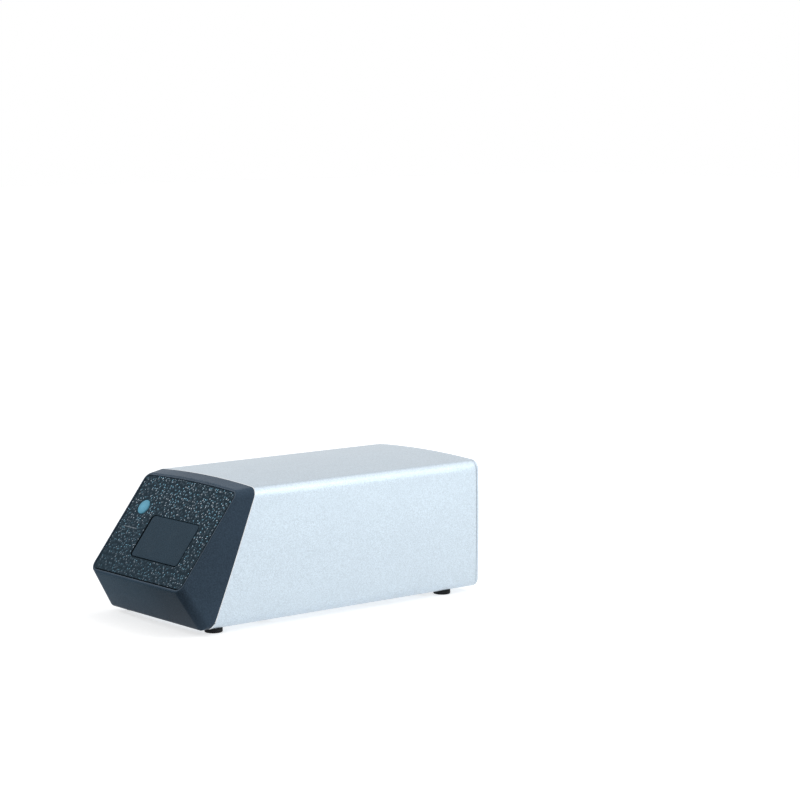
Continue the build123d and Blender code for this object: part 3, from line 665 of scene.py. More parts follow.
def moulded(name, colour, rough, grain, depth, shine=0.5):
    """Injection-moulded plastic: a fine spark-eroded texture, slight colour drift and rubbed
    patches that shine a little more."""
    f = Finish(name)
    texture = f.noise(grain, 3.0, 0.6)
    cell = f.cells(grain * 1.3)
    drift = f.noise(30.0)
    rub = f.noise(11.0, 4.0, 0.6)
    tone = f.shades(drift.stretch(0.3, 0.7), colour, 0.88, 1.12)
    fleck = f.noise(grain * 2.6, 2.0, 0.7)
    tone = f.blend(fleck.stretch(0.32, 0.68, 0.0, 0.6), tone, darker(colour, 1.7))
    gloss = rough + (texture - 0.5) * 0.10 - rub.stretch(0.55, 0.8, 0.0, 0.07)
    normal = f.bump(texture * 0.6 + cell * 0.4, depth)
    return f.surface(tone, gloss, normal, specular_ior_level=shine)


def pebbled(name, colour):
    """Black leather-grain moulding: scattered domes that shine wet on their crowns, each by its own
    share and with its own tint, over dull valleys with fine pores. Painted shade darkens the valleys,
    painted glints lighten some crowns, a smooth dark border of painted shade runs along the mouth and
    the rim, and there is a thin pale printed line."""
    f = Finish(name)
    pitch, rise = detail("pebble"), detail("pebble_rise")
    across = f.axis("X")
    up = (f.axis("Y") + (SHIFT - NOSE[0]) * MM) * UP[0] + (f.axis("Z") - NOSE[1] * MM) * UP[1]
    flat = f.add("ShaderNodeCombineXYZ", {0: across, 1: up})
    gap = f.cells(pitch, place=flat, voronoi_dimensions="2D")
    own = f.cells(pitch, out="Color", place=flat, voronoi_dimensions="2D")
    lot = f.part(own)
    hue = f.part(own, "Green")
    # Distance from the mouth and the rim, for a dark border of painted shade along them
    corner = MOUTH["radius"]
    aside = (abs(across / MM - MOUTH["x"]) - (MOUTH["half_x"] - corner)).larger(0.0)
    above = ((abs(f.axis("Z") / MM - MOUTH["z"]) - (MOUTH["half_z"] - corner)) / UP[1]).larger(0.0)
    from_mouth = (aside * aside + above * above) ** 0.5 - corner
    from_rim = (FRONT["half"] - LIP - PANEL_GAP - abs(across / MM)).smaller(up / MM - LIP - PANEL_GAP)
    clear = from_mouth.smaller(from_rim).stretch(0.45, 0.75)
    dome = (1.0 - gap * gap * 2.4).larger(0.0)
    pores = f.noise(0.28, 3.0, 0.65)
    drift = f.noise(16.0)
    # Painted shade: the valleys darker and the crowns lighter in the base colour
    tone = f.shades(dome.stretch(0.2, 0.9), colour, 0.72, 1.15)
    tone = f.blend(drift.stretch(0.3, 0.7, 0.0, 0.4), tone, darker(colour, 0.8))
    # Painted glints: lighter crowns on some domes, seen from any side
    painted_glint = dome.stretch(0.75, 0.95) * lot.stretch(0.45, 0.8)
    tone = f.blend(painted_glint * 0.7, tone, darker(colour, 1.8))
    # Painted shade: the border along the mouth and the rim drawn dark
    tone = f.blend(clear, darker(colour, 0.15), tone)
    inside = (abs(across / MM - LINE_X) < LINE_HALF[0]) * (abs(up / MM - LINE_UP) < LINE_HALF[1])
    worn = inside * f.noise(0.7, 3.0, 0.6).stretch(0.35, 0.55, 0.1, 0.6)
    tone = f.blend(worn, tone, (0.42, 0.47, 0.52))
    normal = f.bump(dome * (lot * 0.5 + 0.5), rise, f.bump(pores, 0.004))
    tint = f.blend(hue.stretch(0.35, 0.65), (0.006, 0.032, 0.046), (0.034, 0.038, 0.042))
    wet = f.add("ShaderNodeBsdfPrincipled", {
        "Base Color": tint, "Metallic": 1.0, "Roughness": 0.17 + pores * 0.05, "Normal": normal})
    dull = f.add("ShaderNodeBsdfPrincipled", {
        "Base Color": tone, "Roughness": 0.75 + pores * 0.1, "Normal": normal,
        "Specular IOR Level": 0.01})
    share = dome.stretch(0.70, 0.92) * lot.stretch(0.25, 0.8, 0.02, 0.27) * clear
    return f.close(f.add("ShaderNodeMixShader", {0: share, 1: dull, 2: wet}))


def rubber(name, colour):
    """Matt moulded rubber with a dusty bloom."""
    f = Finish(name)
    bloom = f.noise(3.0, 4.0, 0.6)
    pores = f.noise(0.3, 3.0, 0.6)
    tone = f.blend(bloom.stretch(0.45, 0.8, 0.0, 0.5), colour, darker(colour, 2.2))
    return f.surface(tone, 0.78 + pores * 0.14, f.bump(pores, 0.02), specular_ior_level=0.3)


def lamp_window(name, colour):
    """Milky light window with a soft glow that is brighter towards its middle."""
    f = Finish(name)
    centre = placed(on_front(WINDOW[0], WINDOW[1], 0.0))
    from_centre = f.add("ShaderNodeVectorMath", {0: f.place, 1: tuple(centre)}, out="Value",
                        operation="DISTANCE")
    fade = from_centre.stretch(0.0, WINDOW[2] * MM, 1.0, 0.0)
    haze = f.noise(1.1, 3.0, 0.6)
    tone = f.shades(fade * 0.7 + haze * 0.3, colour, 0.7, 1.15)
    inputs = {"Base Color": tone, "Roughness": 0.48 + haze * 0.12, "Emission Color": tone,
              "Emission Strength": 0.16, "Normal": f.bump(haze, 0.01), "Specular IOR Level": 0.1}
    return f.close(f.add("ShaderNodeBsdfPrincipled", inputs))


def circuit(name, colour):
    """Solder-masked board: copper runs and vias just visible under the mask, glass weave in it."""
    f = Finish(name)
    runs = f.add("ShaderNodeTexBrick", {
        "Vector": f.place, "Scale": 1.0, "Mortar Size": 0.00022, "Brick Width": 0.0052,
        "Row Height": 0.0017, "Color1": BLACK, "Color2": BLACK, "Mortar": WHITE}, out="Color")
    run = f.part(runs)
    pad = f.cells(4.0).stretch(0.10, 0.13, 1.0, 0.0)
    weave = ((f.axis("X") * 9000.0).wave() + (f.axis("Y") * 9000.0).wave()) * 0.25 + 0.5
    cloud = f.noise(9.0)
    tone = f.shades(cloud.stretch(0.3, 0.7), colour, 0.85, 1.1)
    tone = f.blend(run * 0.55, tone, darker(colour, 1.9))
    tone = f.blend(pad, tone, (0.55, 0.50, 0.38))
    height = pad * 0.6 + weave * 0.2 + run * 0.4
    return f.surface(tone, 0.30 + cloud * 0.12, f.bump(height, 0.02), coat_weight=0.3,
                     coat_roughness=0.15)


def clear(name, colour, rough, ior):
    """Clear acrylic or glass with faint streaks in its polish."""
    f = Finish(name)
    streak = f.noise(2.5, 3.0, 0.6, place=f.turned((1.0, 0.3, 1.0)))
    tone = f.blend(streak.stretch(0.3, 0.7), colour, darker(colour, 0.92))
    return f.surface(tone, rough + streak * 0.05, f.bump(streak, 0.004), ior=ior,
                     transmission_weight=0.9)


def coated_mirror(name, colour):
    """First-surface mirror: a bright coat with a breath of haze near specks of dust."""
    f = Finish(name)
    haze = f.noise(4.0, 3.0, 0.6)
    dust = f.cells(2.4).stretch(0.03, 0.06, 1.0, 0.0)
    tone = f.blend(dust * 0.5, colour, (0.45, 0.45, 0.45))
    return f.surface(tone, 0.03 + haze * 0.05 + dust * 0.3, f.bump(dust, 0.01), metallic=1.0)


def lit_lamp(name, colour):
    """Small white lamp package: pale body with a warm phosphor spot in each."""
    f = Finish(name)
    spot = f.cells(3.0).stretch(0.2, 0.35, 1.0, 0.0)
    grain = f.noise(0.4, 3.0)
    tone = f.blend(spot, colour, (0.80, 0.70, 0.28))
    return f.surface(tone, 0.35 + grain * 0.15, f.bump(spot * 0.7 + grain * 0.3, 0.03))


PALETTE = {}


def paint(slot):
    """The finish of a material slot, made once."""
    if slot not in PALETTE:
        maker, name, colour, *values = FINISHES[slot]
        colour = look(colour) if isinstance(colour, str) else colour
        PALETTE[slot] = maker(name, colour, *values)
    return PALETTE[slot]


# Each slot's finish: how it is made, its name, its colour or the look's name of it, its values
FINISHES = {
    "sleeve_alu": (blasted, "blasted_sleeve", "sleeve", 0.40, 0.28),
    "cut_edge": (cut_edge, "cut_edge", "edge"),
    "rear_alu": (blasted, "blasted_rear", "sleeve", 0.44, 0.28),
    "bezel_plastic": (moulded, "satin_bezel", "bezel", 0.36, 0.30, 0.008, 0.03),
    "panel_black": (pebbled, "pebbled_panel", "panel"),
    "tray_face_plastic": (moulded, "matt_tray_face", "tray_face", 0.60, 0.30, 0.012, 0.05),
    "status_light": (lamp_window, "status_glow", "window"),
    "foot_rubber": (rubber, "foot_rubber", (0.014, 0.015, 0.017)),
    "screw_black": (turned_metal, "black_screws", (0.035, 0.036, 0.038), 0.42),
    "socket_black": (moulded, "socket_black", (0.016, 0.017, 0.019), 0.42, 0.35, 0.010),
    "socket_shell": (sheet_metal, "socket_shell", (0.66, 0.67, 0.68), 0.26),
    "rocker_black": (moulded, "rocker_black", (0.014, 0.015, 0.017), 0.30, 0.4, 0.006),
    "chassis_alu": (sheet_metal, "chassis_sheet", (0.70, 0.71, 0.72), 0.36),
    "rod_steel": (turned_metal, "ground_rods", (0.72, 0.73, 0.75), 0.14, 0.10),
    "screw_steel": (turned_metal, "rolled_screw", (0.62, 0.63, 0.65), 0.24, 0.15),
    "bearing_steel": (turned_metal, "bearing_rings", (0.66, 0.67, 0.69), 0.20, 0.10, "X"),
    "bronze": (turned_metal, "sintered_bronze", (0.55, 0.34, 0.15), 0.38, 0.25),
    "carriage_plastic": (moulded, "white_carriage", (0.62, 0.62, 0.60), 0.42, 0.5, 0.010),
    "tray_plastic": (moulded, "dark_tray", (0.035, 0.040, 0.048), 0.46, 0.35, 0.012),
    "magnet_nickel": (turned_metal, "nickel_magnets", (0.66, 0.64, 0.60), 0.16, 0.3, "X"),
    "motor_steel": (sheet_metal, "motor_steel", (0.34, 0.34, 0.35), 0.34),
    "coupling_alu": (turned_metal, "turned_coupling", (0.74, 0.75, 0.77), 0.26, 0.14),
    "board_green": (circuit, "green_board", (0.010, 0.085, 0.038)),
    "chip_black": (moulded, "chip_black", (0.022, 0.022, 0.024), 0.50, 0.25, 0.010),
    "brass_posts": (turned_metal, "brass_posts", (0.72, 0.52, 0.22), 0.26, 0.20, "Z"),
    "deck_black": (blasted, "black_anodised", (0.030, 0.031, 0.034), 0.48, 0.2),
    "laser_brass": (turned_metal, "laser_barrel", (0.70, 0.52, 0.25), 0.24, 0.18, "X"),
    "mirror_glass": (coated_mirror, "front_coated_mirror", (0.86, 0.88, 0.90)),
    "lens_glass": (clear, "lens_glass", (0.96, 0.97, 1.0), 0.03, 1.52),
    "guide_acrylic": (clear, "light_guide", (0.93, 0.97, 0.98), 0.06, 1.49),
    "filter_blue": (clear, "blue_filter", (0.04, 0.12, 0.62), 0.05, 1.52),
    "detector_metal": (sheet_metal, "detector_can", (0.52, 0.53, 0.55), 0.30),
    "led_white": (lit_lamp, "white_lamps", (0.80, 0.80, 0.76)),
    "flag_steel": (sheet_metal, "flag_steel", (0.60, 0.61, 0.63), 0.30),
}


def dress(*nodes):
    """Give CAD nodes the finish of the slots that their meshes name."""
    for name in nodes:
        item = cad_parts[name]
        for place in item.material_slots:
            place.material = paint(place.material.name)


class ScannerLook(bpy.types.PropertyGroup):
    """Colours of the visible finishes."""

    def colour(name, text, value):
        """A colour property."""
        return FloatVectorProperty(name=name, description=text, default=value, subtype="COLOR",
                                   size=3, min=0.0, max=1.0)

    sleeve: colour("Sleeve", "Anodised aluminium of the sleeve and rear panel", (0.51, 0.585, 0.65))
    edge: colour("Cut edge", "Bright machined edge at the raked joint", (0.90, 0.92, 0.94))
    bezel: colour("Bezel", "Satin plastic of the front bezel", (0.052, 0.081, 0.117))
    panel: colour("Panel", "Pebbled black front panel", (0.050, 0.078, 0.103))
    tray_face: colour("Tray front", "Matt cover of the tray", (0.028, 0.053, 0.078))
    window: colour("Status window", "Milky blue light window", (0.14, 0.43, 0.60))


class ScannerSizes(bpy.types.PropertyGroup):
    """Sizes of the details that Blender adds."""

    def length(name, text, value):
        """A length property from millimetres."""
        return FloatProperty(name=name, description=text, default=value * MM, subtype="DISTANCE",
                             unit="LENGTH", min=0.0, precision=5)

    edge: length("Cut edge", "Width of the bright chamfer at the sleeve's raked end", 0.65)
    front_round: length("Front rounding", "Rounding of the bezel's outer front edge", 0.8)
    lip_round: length("Lip rounding", "Rounding of the bezel's lip beside the panel", 0.25)
    pebble: length("Pebble", "Pitch of the panel's leather grain", 1.9)
    pebble_rise: length("Pebble height", "Height of the leather grain", 0.10)
    tray_round: length("Tray rounding", "Rounding of the tray front's edge", 0.3)


class ScannerStage(bpy.types.PropertyGroup):
    """Camera and light."""

    eye: FloatVectorProperty(name="Camera place", description="Where the camera stands",
                             default=(1.10027, -0.82770, 0.2855), subtype="TRANSLATION",
                             unit="LENGTH", size=3)
    azimuth: FloatProperty(name="Azimuth", description="Turn of the camera round the device",
                           default=math.radians(50.337), subtype="ANGLE", unit="ROTATION")
    elevation: FloatProperty(name="Elevation", description="Angle of the camera above level",
                             default=math.radians(6.995), subtype="ANGLE", unit="ROTATION")
    lens: FloatProperty(name="Lens", description="Focal length in millimetres", default=109.6)
    ambient: FloatProperty(name="Ambient", description="Light of the surroundings on matt surfaces",
                           default=0.5)


class SCANNER_OT_sleeve(bpy.types.Operator):
    """Sleeve: its section carried from the raked joint to the rear end, with a bright chamfer at
    the joint, a small rounding behind, a real wall and countersunk holes in the floor"""
    bl_idname = "scanner.sleeve"
    bl_label = "Sleeve"

    def execute(self, context):
        size = detail("edge")
        start = joint_y(tube_ring(TUBE_COUNTS, 0.0)[:, 1]) + size
        rows = []

        def ring(inset, y):
            """Add the section drawn in by an inset."""
            rows.append(at_y(tube_ring(TUBE_COUNTS, inset), y))

        def joint_ring(inset):
            """Add the section where it meets the raked joint plane."""
            ring(inset, joint_y(tube_ring(TUBE_COUNTS, inset)[:, 1]))

        joint_ring(WALL)
        joint_ring(size)
        for share in np.linspace(0, 1, 46):
            ring(0.0, start + share * (SLEEVE_END - END_ROUND - start))
        for inset, rest in rounding(END_ROUND, 5)[1:]:
            ring(inset, SLEEVE_END - rest)
        chamfer = 0.1
        ring(WALL - chamfer, SLEEVE_END)
        ring(WALL, SLEEVE_END - chamfer)
        # The band from the second ring to the third is the bright chamfer
        marks = np.zeros(len(rows), int)
        marks[1] = 1
        shell = Shell().grid(rows, close_rows=True, mark=marks)
        item = piece("sleeve_shell", shell, "housing", "sleeve_alu", ["housing_sleeve"],
                     trim=["cut_edge"])
        holes = Shell()
        sink = [(0, 1.0), (3.15, 1.0), (3.15, 2.75), (3.0, 2.8), (1.5, 4.3), (1.5, 9), (0, 9)]
        for x, y in FLOOR_SCREWS:
            holes.lathe(sink, (x, y, 0), UPRIGHT, 40)
        cut(item, holes)
        inner = Shell()
        for x, z in BOSSES:
            begin, end = joint_y(z) + BOSS_SHORT[0], SLEEVE_END - BOSS_SHORT[1]
            profile = [(BORE, begin), (BOSS, begin), (BOSS, end), (BORE, end)]
            inner.lathe(profile, (x, 0, z), ALONG, 32, close_rows=True)
        for x in RAILS["x"]:
            inner.box((x, RAILS["z"]), RAILS["half"], RAILS["near"], RAILS["far"])
        piece("sleeve_channels", inner, "housing", "sleeve_alu")
        return {"FINISHED"}


class SCANNER_OT_bezel(bpy.types.Operator):
    """Bezel: straight lines ruled from the front outline to the sleeve's section on the raked
    joint, held above the flat underside and inside the sleeve's corners, with a front edge rounded
    by a quadratic curve, a lip round the panel's pocket, the tray mouth and a low spigot into the
    sleeve"""
    bl_idname = "scanner.bezel"
    bl_label = "Front bezel"

    def execute(self, context):
        big, small = detail("front_round"), detail("lip_round")
        counts = (60, 18, 90, 18, 80)
        ledge, crease_round, joint_round, spread = 0.2, 1.6, 0.6, 0.12
        chin_rise = (NOSE[1] - JOINT_LOW[1]) / CHIN_BACK
        chin_y = (NOSE[1] - JOINT_LOW[1] + JOINT_RISE * JOINT_LOW[0]) / (chin_rise + JOINT_RISE)
        chin_z = NOSE[1] - chin_rise * chin_y
        first = front_ring(counts, 0.0, 0.0)
        deep = dict(TUBE, low=chin_z)
        flat = outline(counts, **deep)[0]
        last = at_y(flat, joint_y(flat[:, 1]))
        floor = JOINT_LOW[1]
        end_y = joint_y(smooth_max(last[:, 2], floor, joint_round))

        def side(w, reach=crease_round):
            """The outer surface at a share w of the way back: the ruled line's point there, lifted
            to the floor with a rounded crease, and kept within the sleeve's half width."""
            y = first[:, 1] + w * (end_y - first[:, 1])
            v = np.clip((y - first[:, 1]) / (last[:, 1] - first[:, 1]), 0, 1)[:, None]
            p = first + v * (last - first)
            z = smooth_max(p[:, 2], floor, reach)
            x = np.sign(p[:, 0]) * np.minimum(np.abs(p[:, 0]), half_width(z, **TUBE))
            return np.stack([x, y, z], 1)

        ways = mouth_bearings(first)
        rows = [mouth_ring(ways, POCKET), front_ring(counts, LIP + ledge, POCKET),
                front_ring(counts, LIP, POCKET), front_ring(counts, LIP, small)]
        rows += [front_ring(counts, LIP - inset, rest) for inset, rest in rounding(small, 5)[1:]]
        span = np.linalg.norm(side(1.0) - first, axis=1)[:, None]
        slight = 0.05
        away = side(slight) - first
        near = front_ring(counts, big, 0.0)
        far = first + big * away / np.linalg.norm(away, axis=1)[:, None]
        for t in np.linspace(0, 1, 9):
            rows.append((1 - t) ** 2 * near + 2 * t * (1 - t) * first + t ** 2 * far)
        start = float(np.median(big / span))
        crease = CHIN_BACK / JOINT_LOW[0]
        stops = (start, crease - spread, crease + spread, 1.0)
        shares = np.concatenate([np.linspace(low, high, count)[1:]
                                 for low, high, count in zip(stops, stops[1:], (34, 24, 14))])
        rows += [side(share) for share in shares[:-1]]
        rows.append(side(1.0, joint_round))
        for inset, back in SPIGOT:
            ring = tube_ring(counts, inset)
            rows.append(at_y(ring, joint_y(ring[:, 1]) + back))
        rows += [front_ring(counts, *FRONT_BACK), mouth_ring(ways, FRONT_BACK[1])]
        shell = Shell().grid(rows, close_rows=True)
        item = piece("bezel_shell", shell, "housing", "bezel_plastic", ["front_bezel"], sharp=42)
        play, near, far = 0.1, 1.0, 7.0
        hole = Shell().pin(WINDOW[2] + play, near, far, on_front(WINDOW[0], WINDOW[1], 0.0),
                           (0.0, -OUT[0], -OUT[1]), 64)
        cut(item, hole, 42)
        return {"FINISHED"}


class SCANNER_OT_panel(bpy.types.Operator):
    """Front panel: rings blended from the tray mouth's outline to the panel's own outline, with
    rounded rims and a shallow recess for the status window"""
    bl_idname = "scanner.panel"
    bl_label = "Front panel"

    def execute(self, context):
        counts = (80, 18, 112, 18, 92)
        inset, sink = LIP + PANEL_GAP, 0.02
        outer = front_ring(counts, inset, 0.0)
        ways = mouth_bearings(outer)

        def flat(ring):
            """A ring on the front as x and the distance up the slope."""
            up = (ring[:, 1] - NOSE[0]) * UP[0] + (ring[:, 2] - NOSE[1]) * UP[1]
            return np.stack([ring[:, 0], up], 1)

        inner = flat(mouth_ring(ways, PANEL_TOP))
        edge = flat(outer)
        shares = smoothstep(0, 1, np.linspace(0, 1, PANEL_ROWS))
        top = inner[None] + shares[:, None, None] * (edge - inner)[None]
        span = np.linalg.norm(edge - inner, axis=1)
        rim = np.minimum(shares[:, None], 1 - shares[:, None]) * span[None]
        away = 1 - np.clip(rim / PANEL_EDGE, 0, 1)
        drop = PANEL_EDGE * (1 - np.sqrt(1 - away ** 2))
        gap = np.hypot(top[..., 0] - WINDOW[0], top[..., 1] - WINDOW[1])
        recess = RECESS["depth"] * smoothstep(WINDOW[2] + RECESS["outer"],
                                              WINDOW[2] + RECESS["inner"], gap)
        depth = PANEL_TOP + sink + drop + recess
        surface = on_front(top[..., 0].ravel(), top[..., 1].ravel(), depth.ravel())
        rows = [mouth_ring(ways, POCKET)]
        rows += list(surface.reshape(*top.shape[:2], 3))
        rows += [front_ring(counts, inset, POCKET)]
        shell = Shell().grid(rows, close_rows=True)
        piece("panel_insert", shell, "housing", "panel_black", ["front_panel"], sharp=60, merge=1e-3)
        return {"FINISHED"}


class SCANNER_OT_tray(bpy.types.Operator):
    """Tray front: the mouth's outline drawn in by the running gap, rounded over to a plain face
    parallel to the panel, hollow behind, with two posts; the tray keeps its CAD shape"""
    bl_idname = "scanner.tray"
    bl_label = "Tray"

    def execute(self, context):
        big = detail("tray_round")
        count, stretch = 240, 2.0
        angle = 2 * np.pi * np.arange(count) / count
        ways = np.stack([np.cos(angle) * stretch, np.sin(angle)], 1)

        def ring(inset, depth, share=1.0):
            """The outline drawn in by an inset at a depth, or pulled to its middle by a share."""
            points = mouth_ring(ways, depth, TRAY_GAP + inset)
            if share < 1.0:
                up = (MOUTH["z"] - NOSE[1] + depth * OUT[1]) / UP[1]
                middle = on_front(MOUTH["x"], up, depth)
                points = middle + share * (points - middle)
            return points

        face = TRAY_RECESS
        back = face + TRAY_SKIRT
        chamfer, straight = 0.15, 1.4
        rows = [ring(TRAY_WALL, face + TRAY_FACE, s) for s in (0.02, 0.4, 1.0)]
        rows += [ring(TRAY_WALL, back), ring(chamfer, back), ring(0.0, back - chamfer)]
        rows += [ring(0.0, face + big + straight)]
        rows += [ring(inset, face + rest) for inset, rest in rounding(big, 7)]
        rows += [ring(big, face, s) for s in (0.9, 0.7, 0.5, 0.3, 0.15, 0.05, 0.02)]
        shell = Shell().capped(rows)
        height = np.array([POSTS["low"]] * 2 + [POSTS["high"]] * 2)
        depth = POSTS["start"]
        for x in POSTS["x"]:
            across = MOUTH["x"] + x + POSTS["half"] * np.array([-1, 1, 1, -1])
            near = on_front(across, (height - NOSE[1] + depth * OUT[1]) / UP[1], depth)
            shell.capped([near, at_y(np.stack([across, height], 1), POSTS["end"])])
        piece("tray_cover", shell, "tray", "tray_face_plastic", ["tray_front"])
        return {"FINISHED"}


class SCANNER_OT_window(bpy.types.Operator):
    """Status window: a low dome with a rounded rim, turned about the panel's normal, on a
    stepped light pipe"""
    bl_idname = "scanner.window"
    bl_label = "Status window"

    def execute(self, context):
        gap, sink = 0.12, 0.05
        radius = WINDOW[2] - gap
        foot, dome, flange, seat, back = 0.10, 0.22, 0.9, -4.1, -5.4
        profile = [(radius * t, foot + dome * (1 - t * t)) for t in np.linspace(0, 1, 12) * 0.93]
        profile += [(radius - 0.08, -0.02), (radius, -0.25), (radius, seat), (radius + flange, seat),
                    (radius + flange, back), (0, back)]
        origin = on_front(WINDOW[0], WINDOW[1], PANEL_TOP + sink)
        shell = Shell().lathe(profile, origin, (0.0, OUT[0], OUT[1]), 96)
        piece("status_lens", shell, "housing", "status_light", ["status_window"], sharp=50)
        dress("status_board")
        return {"FINISHED"}


class SCANNER_OT_rear(bpy.types.Operator):
    """Rear panel: a rounded rim flush with the sleeve round a recessed field, its openings and
    vents cut through, with cross-recessed screws, the rocker in its frame and two sockets"""
    bl_idname = "scanner.rear"
    bl_label = "Rear panel"

    def execute(self, context):
        def ring(inset, y, share=1.0):
            """The section drawn in by an inset, and pulled to its middle by a share."""
            flat = tube_ring(TUBE_COUNTS, inset)
            return at_y(REAR_MIDDLE + share * (flat - REAR_MIDDLE), y)

        front = SLEEVE_END + REAR_SEAM
        chamfer, fillet = 0.15, 0.2
        rows = [ring(INSIDE, FIELD_BACK, s) for s in (0.02, 0.5, 1.0)]
        rows += [ring(INSIDE, front), ring(chamfer, front), ring(0.0, front + chamfer)]
        rows += [ring(inset, REAR - rest) for inset, rest in rounding(REAR_ROUND, 5)]
        rows += [ring(REAR_LIP - chamfer, REAR), ring(REAR_LIP, REAR - chamfer)]
        rows += [ring(REAR_LIP, FIELD + fillet)]
        rows += [ring(REAR_LIP + fillet, FIELD, s) for s in (1.0, 0.75, 0.5, 0.25, 0.02)]
        item = piece("rear_cover", Shell().capped(rows), "housing", "rear_alu", ["rear_panel"])
        tool = Shell()
        past = 6.0
        near, far = FIELD_BACK - past, REAR + past
        tool.box(SWITCH, SWITCH_HOLE, near, far)
        tool.box(SOCKET, SOCKET_HOLE, near, far)
        tool.pin(JACK_HOLE, near, far, (JACK[0], 0, JACK[1]), ALONG, 48)
        for x, z in BOSSES:
            tool.pin(SCREW_HOLE, near, far, (x, 0, z), ALONG, 32)
        turn = np.linspace(0, np.pi, 9)
        cap = VENTS["half"] * np.stack([np.cos(turn), np.sin(turn)], 1)
        slot = np.concatenate([cap + (0, VENTS["high"]), (0, VENTS["low"]) - cap])
        for i in range(VENTS["count"]):
            tool.prism(slot + (VENTS["first"] + VENTS["pitch"] * i, 0), near, far)
        cut(item, tool)
        self.screws()
        dress("switch_frame", "power_rocker", "power_inlet", "data_socket", "connector_board")
        return {"FINISHED"}

    def screws(self):
        """Pan heads: a quarter-round dome on a short cylinder, with a tapered cross recess, each
        turned its own way."""
        head, side, dome, shank_end = 2.4, 0.35, 0.8, 196.0
        arm, slit, first_turn, next_turn = 1.7, 0.28, 0.35, 0.8
        taper = ((REAR - 1.0, 0.45), (REAR + 0.5, 1.1))
        profile = [(0, shank_end), (1.2, shank_end), (1.25, FIELD), (head - 0.1, FIELD),
                   (head, FIELD + 0.1)]
        profile += [(head * math.cos(t), FIELD + side + dome * math.sin(t))
                    for t in np.linspace(0, math.pi / 2, 10)]
        heads = Shell()
        for x, z in BOSSES:
            heads.lathe(profile, (x, 0, z), ALONG, 48)
        item = piece("rear_screw_set", heads, "housing", "screw_black", ["rear_screws"])
        tool = Shell()
        quarter = np.array([(arm, -slit), (arm, slit), (slit, slit)])
        cross = np.concatenate([quarter @ np.array([[a, b], [-b, a]])
                                for a, b in ((1, 0), (0, 1), (-1, 0), (0, -1))])
        for i, (x, z) in enumerate(BOSSES):
            turn = first_turn + next_turn * i
            c, s = math.cos(turn), math.sin(turn)
            flat = cross @ np.array([[c, s], [-s, c]])
            tool.capped([at_y((x, z) + share * flat, y) for y, share in taper])
        cut(item, tool)


class SCANNER_OT_feet(bpy.types.Operator):
    """Feet: turned rubber discs with rounded lower edges and a shallow cup under each, and the
    countersunk screws in the sleeve's floor, with their six-sided recesses"""
    bl_idname = "scanner.feet"
    bl_label = "Feet"

    def execute(self, context):
        shell = Shell()
        radius, cup, top = 5.0, 0.35, TUBE["low"]
        profile = [(0, cup), (2.6, cup), (3.0, 0.0)]
        profile += [(radius - rest, inset) for inset, rest in rounding(0.6, 7)]
        profile += [(radius, top - 0.2), (radius - 0.2, top), (0, top)]
        for x, y in FEET:
            shell.lathe(profile, (x, y, 0), UPRIGHT, 56)
        piece("rubber_feet", shell, "housing", "foot_rubber", ["feet"])
        heads = Shell()
        head = [(0, 3.0), (2.75, 3.0), (2.85, 3.08), (2.8, 3.25), (1.45, 4.5), (1.45, 9.6), (0, 9.6)]
        recess = [(0, 2.0), (1.15, 2.0), (1.15, 4.2), (0, 4.6)]
        tool = Shell()
        for x, y in FLOOR_SCREWS:
            heads.lathe(head, (x, y, 0), UPRIGHT, 40)
            tool.lathe(recess, (x, y, 0), UPRIGHT, 6)
        item = piece("floor_screw_set", heads, "housing", "screw_black", ["underside_screws"])
        cut(item, tool)
        return {"FINISHED"}


class SCANNER_OT_drive(bpy.types.Operator):
    """Tray drive: a four-start rolled thread whose radius follows the helix phase of turn and
    travel, with plain journals; rods, bearings, coupling, motor and carriage keep their shapes"""
    bl_idname = "scanner.drive"
    bl_label = "Tray drive"

    def execute(self, context):
        start, end = THREAD
        front, back = DRIVE_ENDS
        step, sides, runout, chamfer, shoulder = 0.22, 48, 2.0, 0.3, 0.1
        y = np.concatenate([np.arange(start, end, step), [end]])
        angle = 2 * np.pi * np.arange(sides) / sides
        around = np.stack([np.cos(angle), np.sin(angle)], 1)
        phase = (y[:, None] / LEAD - angle[None] / (2 * np.pi)) * STARTS
        wave = np.abs((phase % 1.0) - 0.5) * 2
        ends = smoothstep(start, start + runout, y) * smoothstep(end, end - runout, y)
        radius = CORE + CREST * smoothstep(*FLANK, wave) * ends[:, None]
        flat = np.array(DRIVE) + radius[..., None] * around
        rows = np.stack([flat[..., 0], np.broadcast_to(y[:, None], radius.shape), flat[..., 1]], -1)

        def journal(y, inset=0.0):
            """A ring of the plain journals, drawn in by an inset."""
            return at_y(np.array(DRIVE) + (JOURNAL - inset) * around, y)

        rows = [journal(front, chamfer), journal(front + chamfer), journal(start - shoulder), *rows,
                journal(end + shoulder), journal(back - chamfer), journal(back, chamfer)]
        shell = Shell().capped(rows)
        piece("threaded_screw", shell, "drive_screw", "screw_steel", ["lead_screw"], sharp=60)
        dress("guide_block_front", "guide_block_rear", "guide_rods", "screw_bearings",
              "shaft_coupling", "motor_shaft", "motor_bracket", "stepper_motor", "tray_carriage",
              "slide_bushings", "lead_nut", "sensor_flag", "home_sensor", "plate_tray", "tray_magnets")
        return {"FINISHED"}


class SCANNER_OT_optics(bpy.types.Operator):
    """Optics deck: laser, scan mirror and its motor, lens, fold mirror, light guide, filter and
    detector keep their CAD shapes and get their finishes"""
    bl_idname = "scanner.optics"
    bl_label = "Optics"

    def execute(self, context):
        dress("deck_posts", "optics_deck", "laser_module", "laser_saddle", "scanner_motor",
              "scan_mirror", "scan_lens", "fold_mirror", "fold_mirror_mount", "light_guide",
              "blue_filter", "photomultiplier", "photomultiplier_clamp")
        return {"FINISHED"}


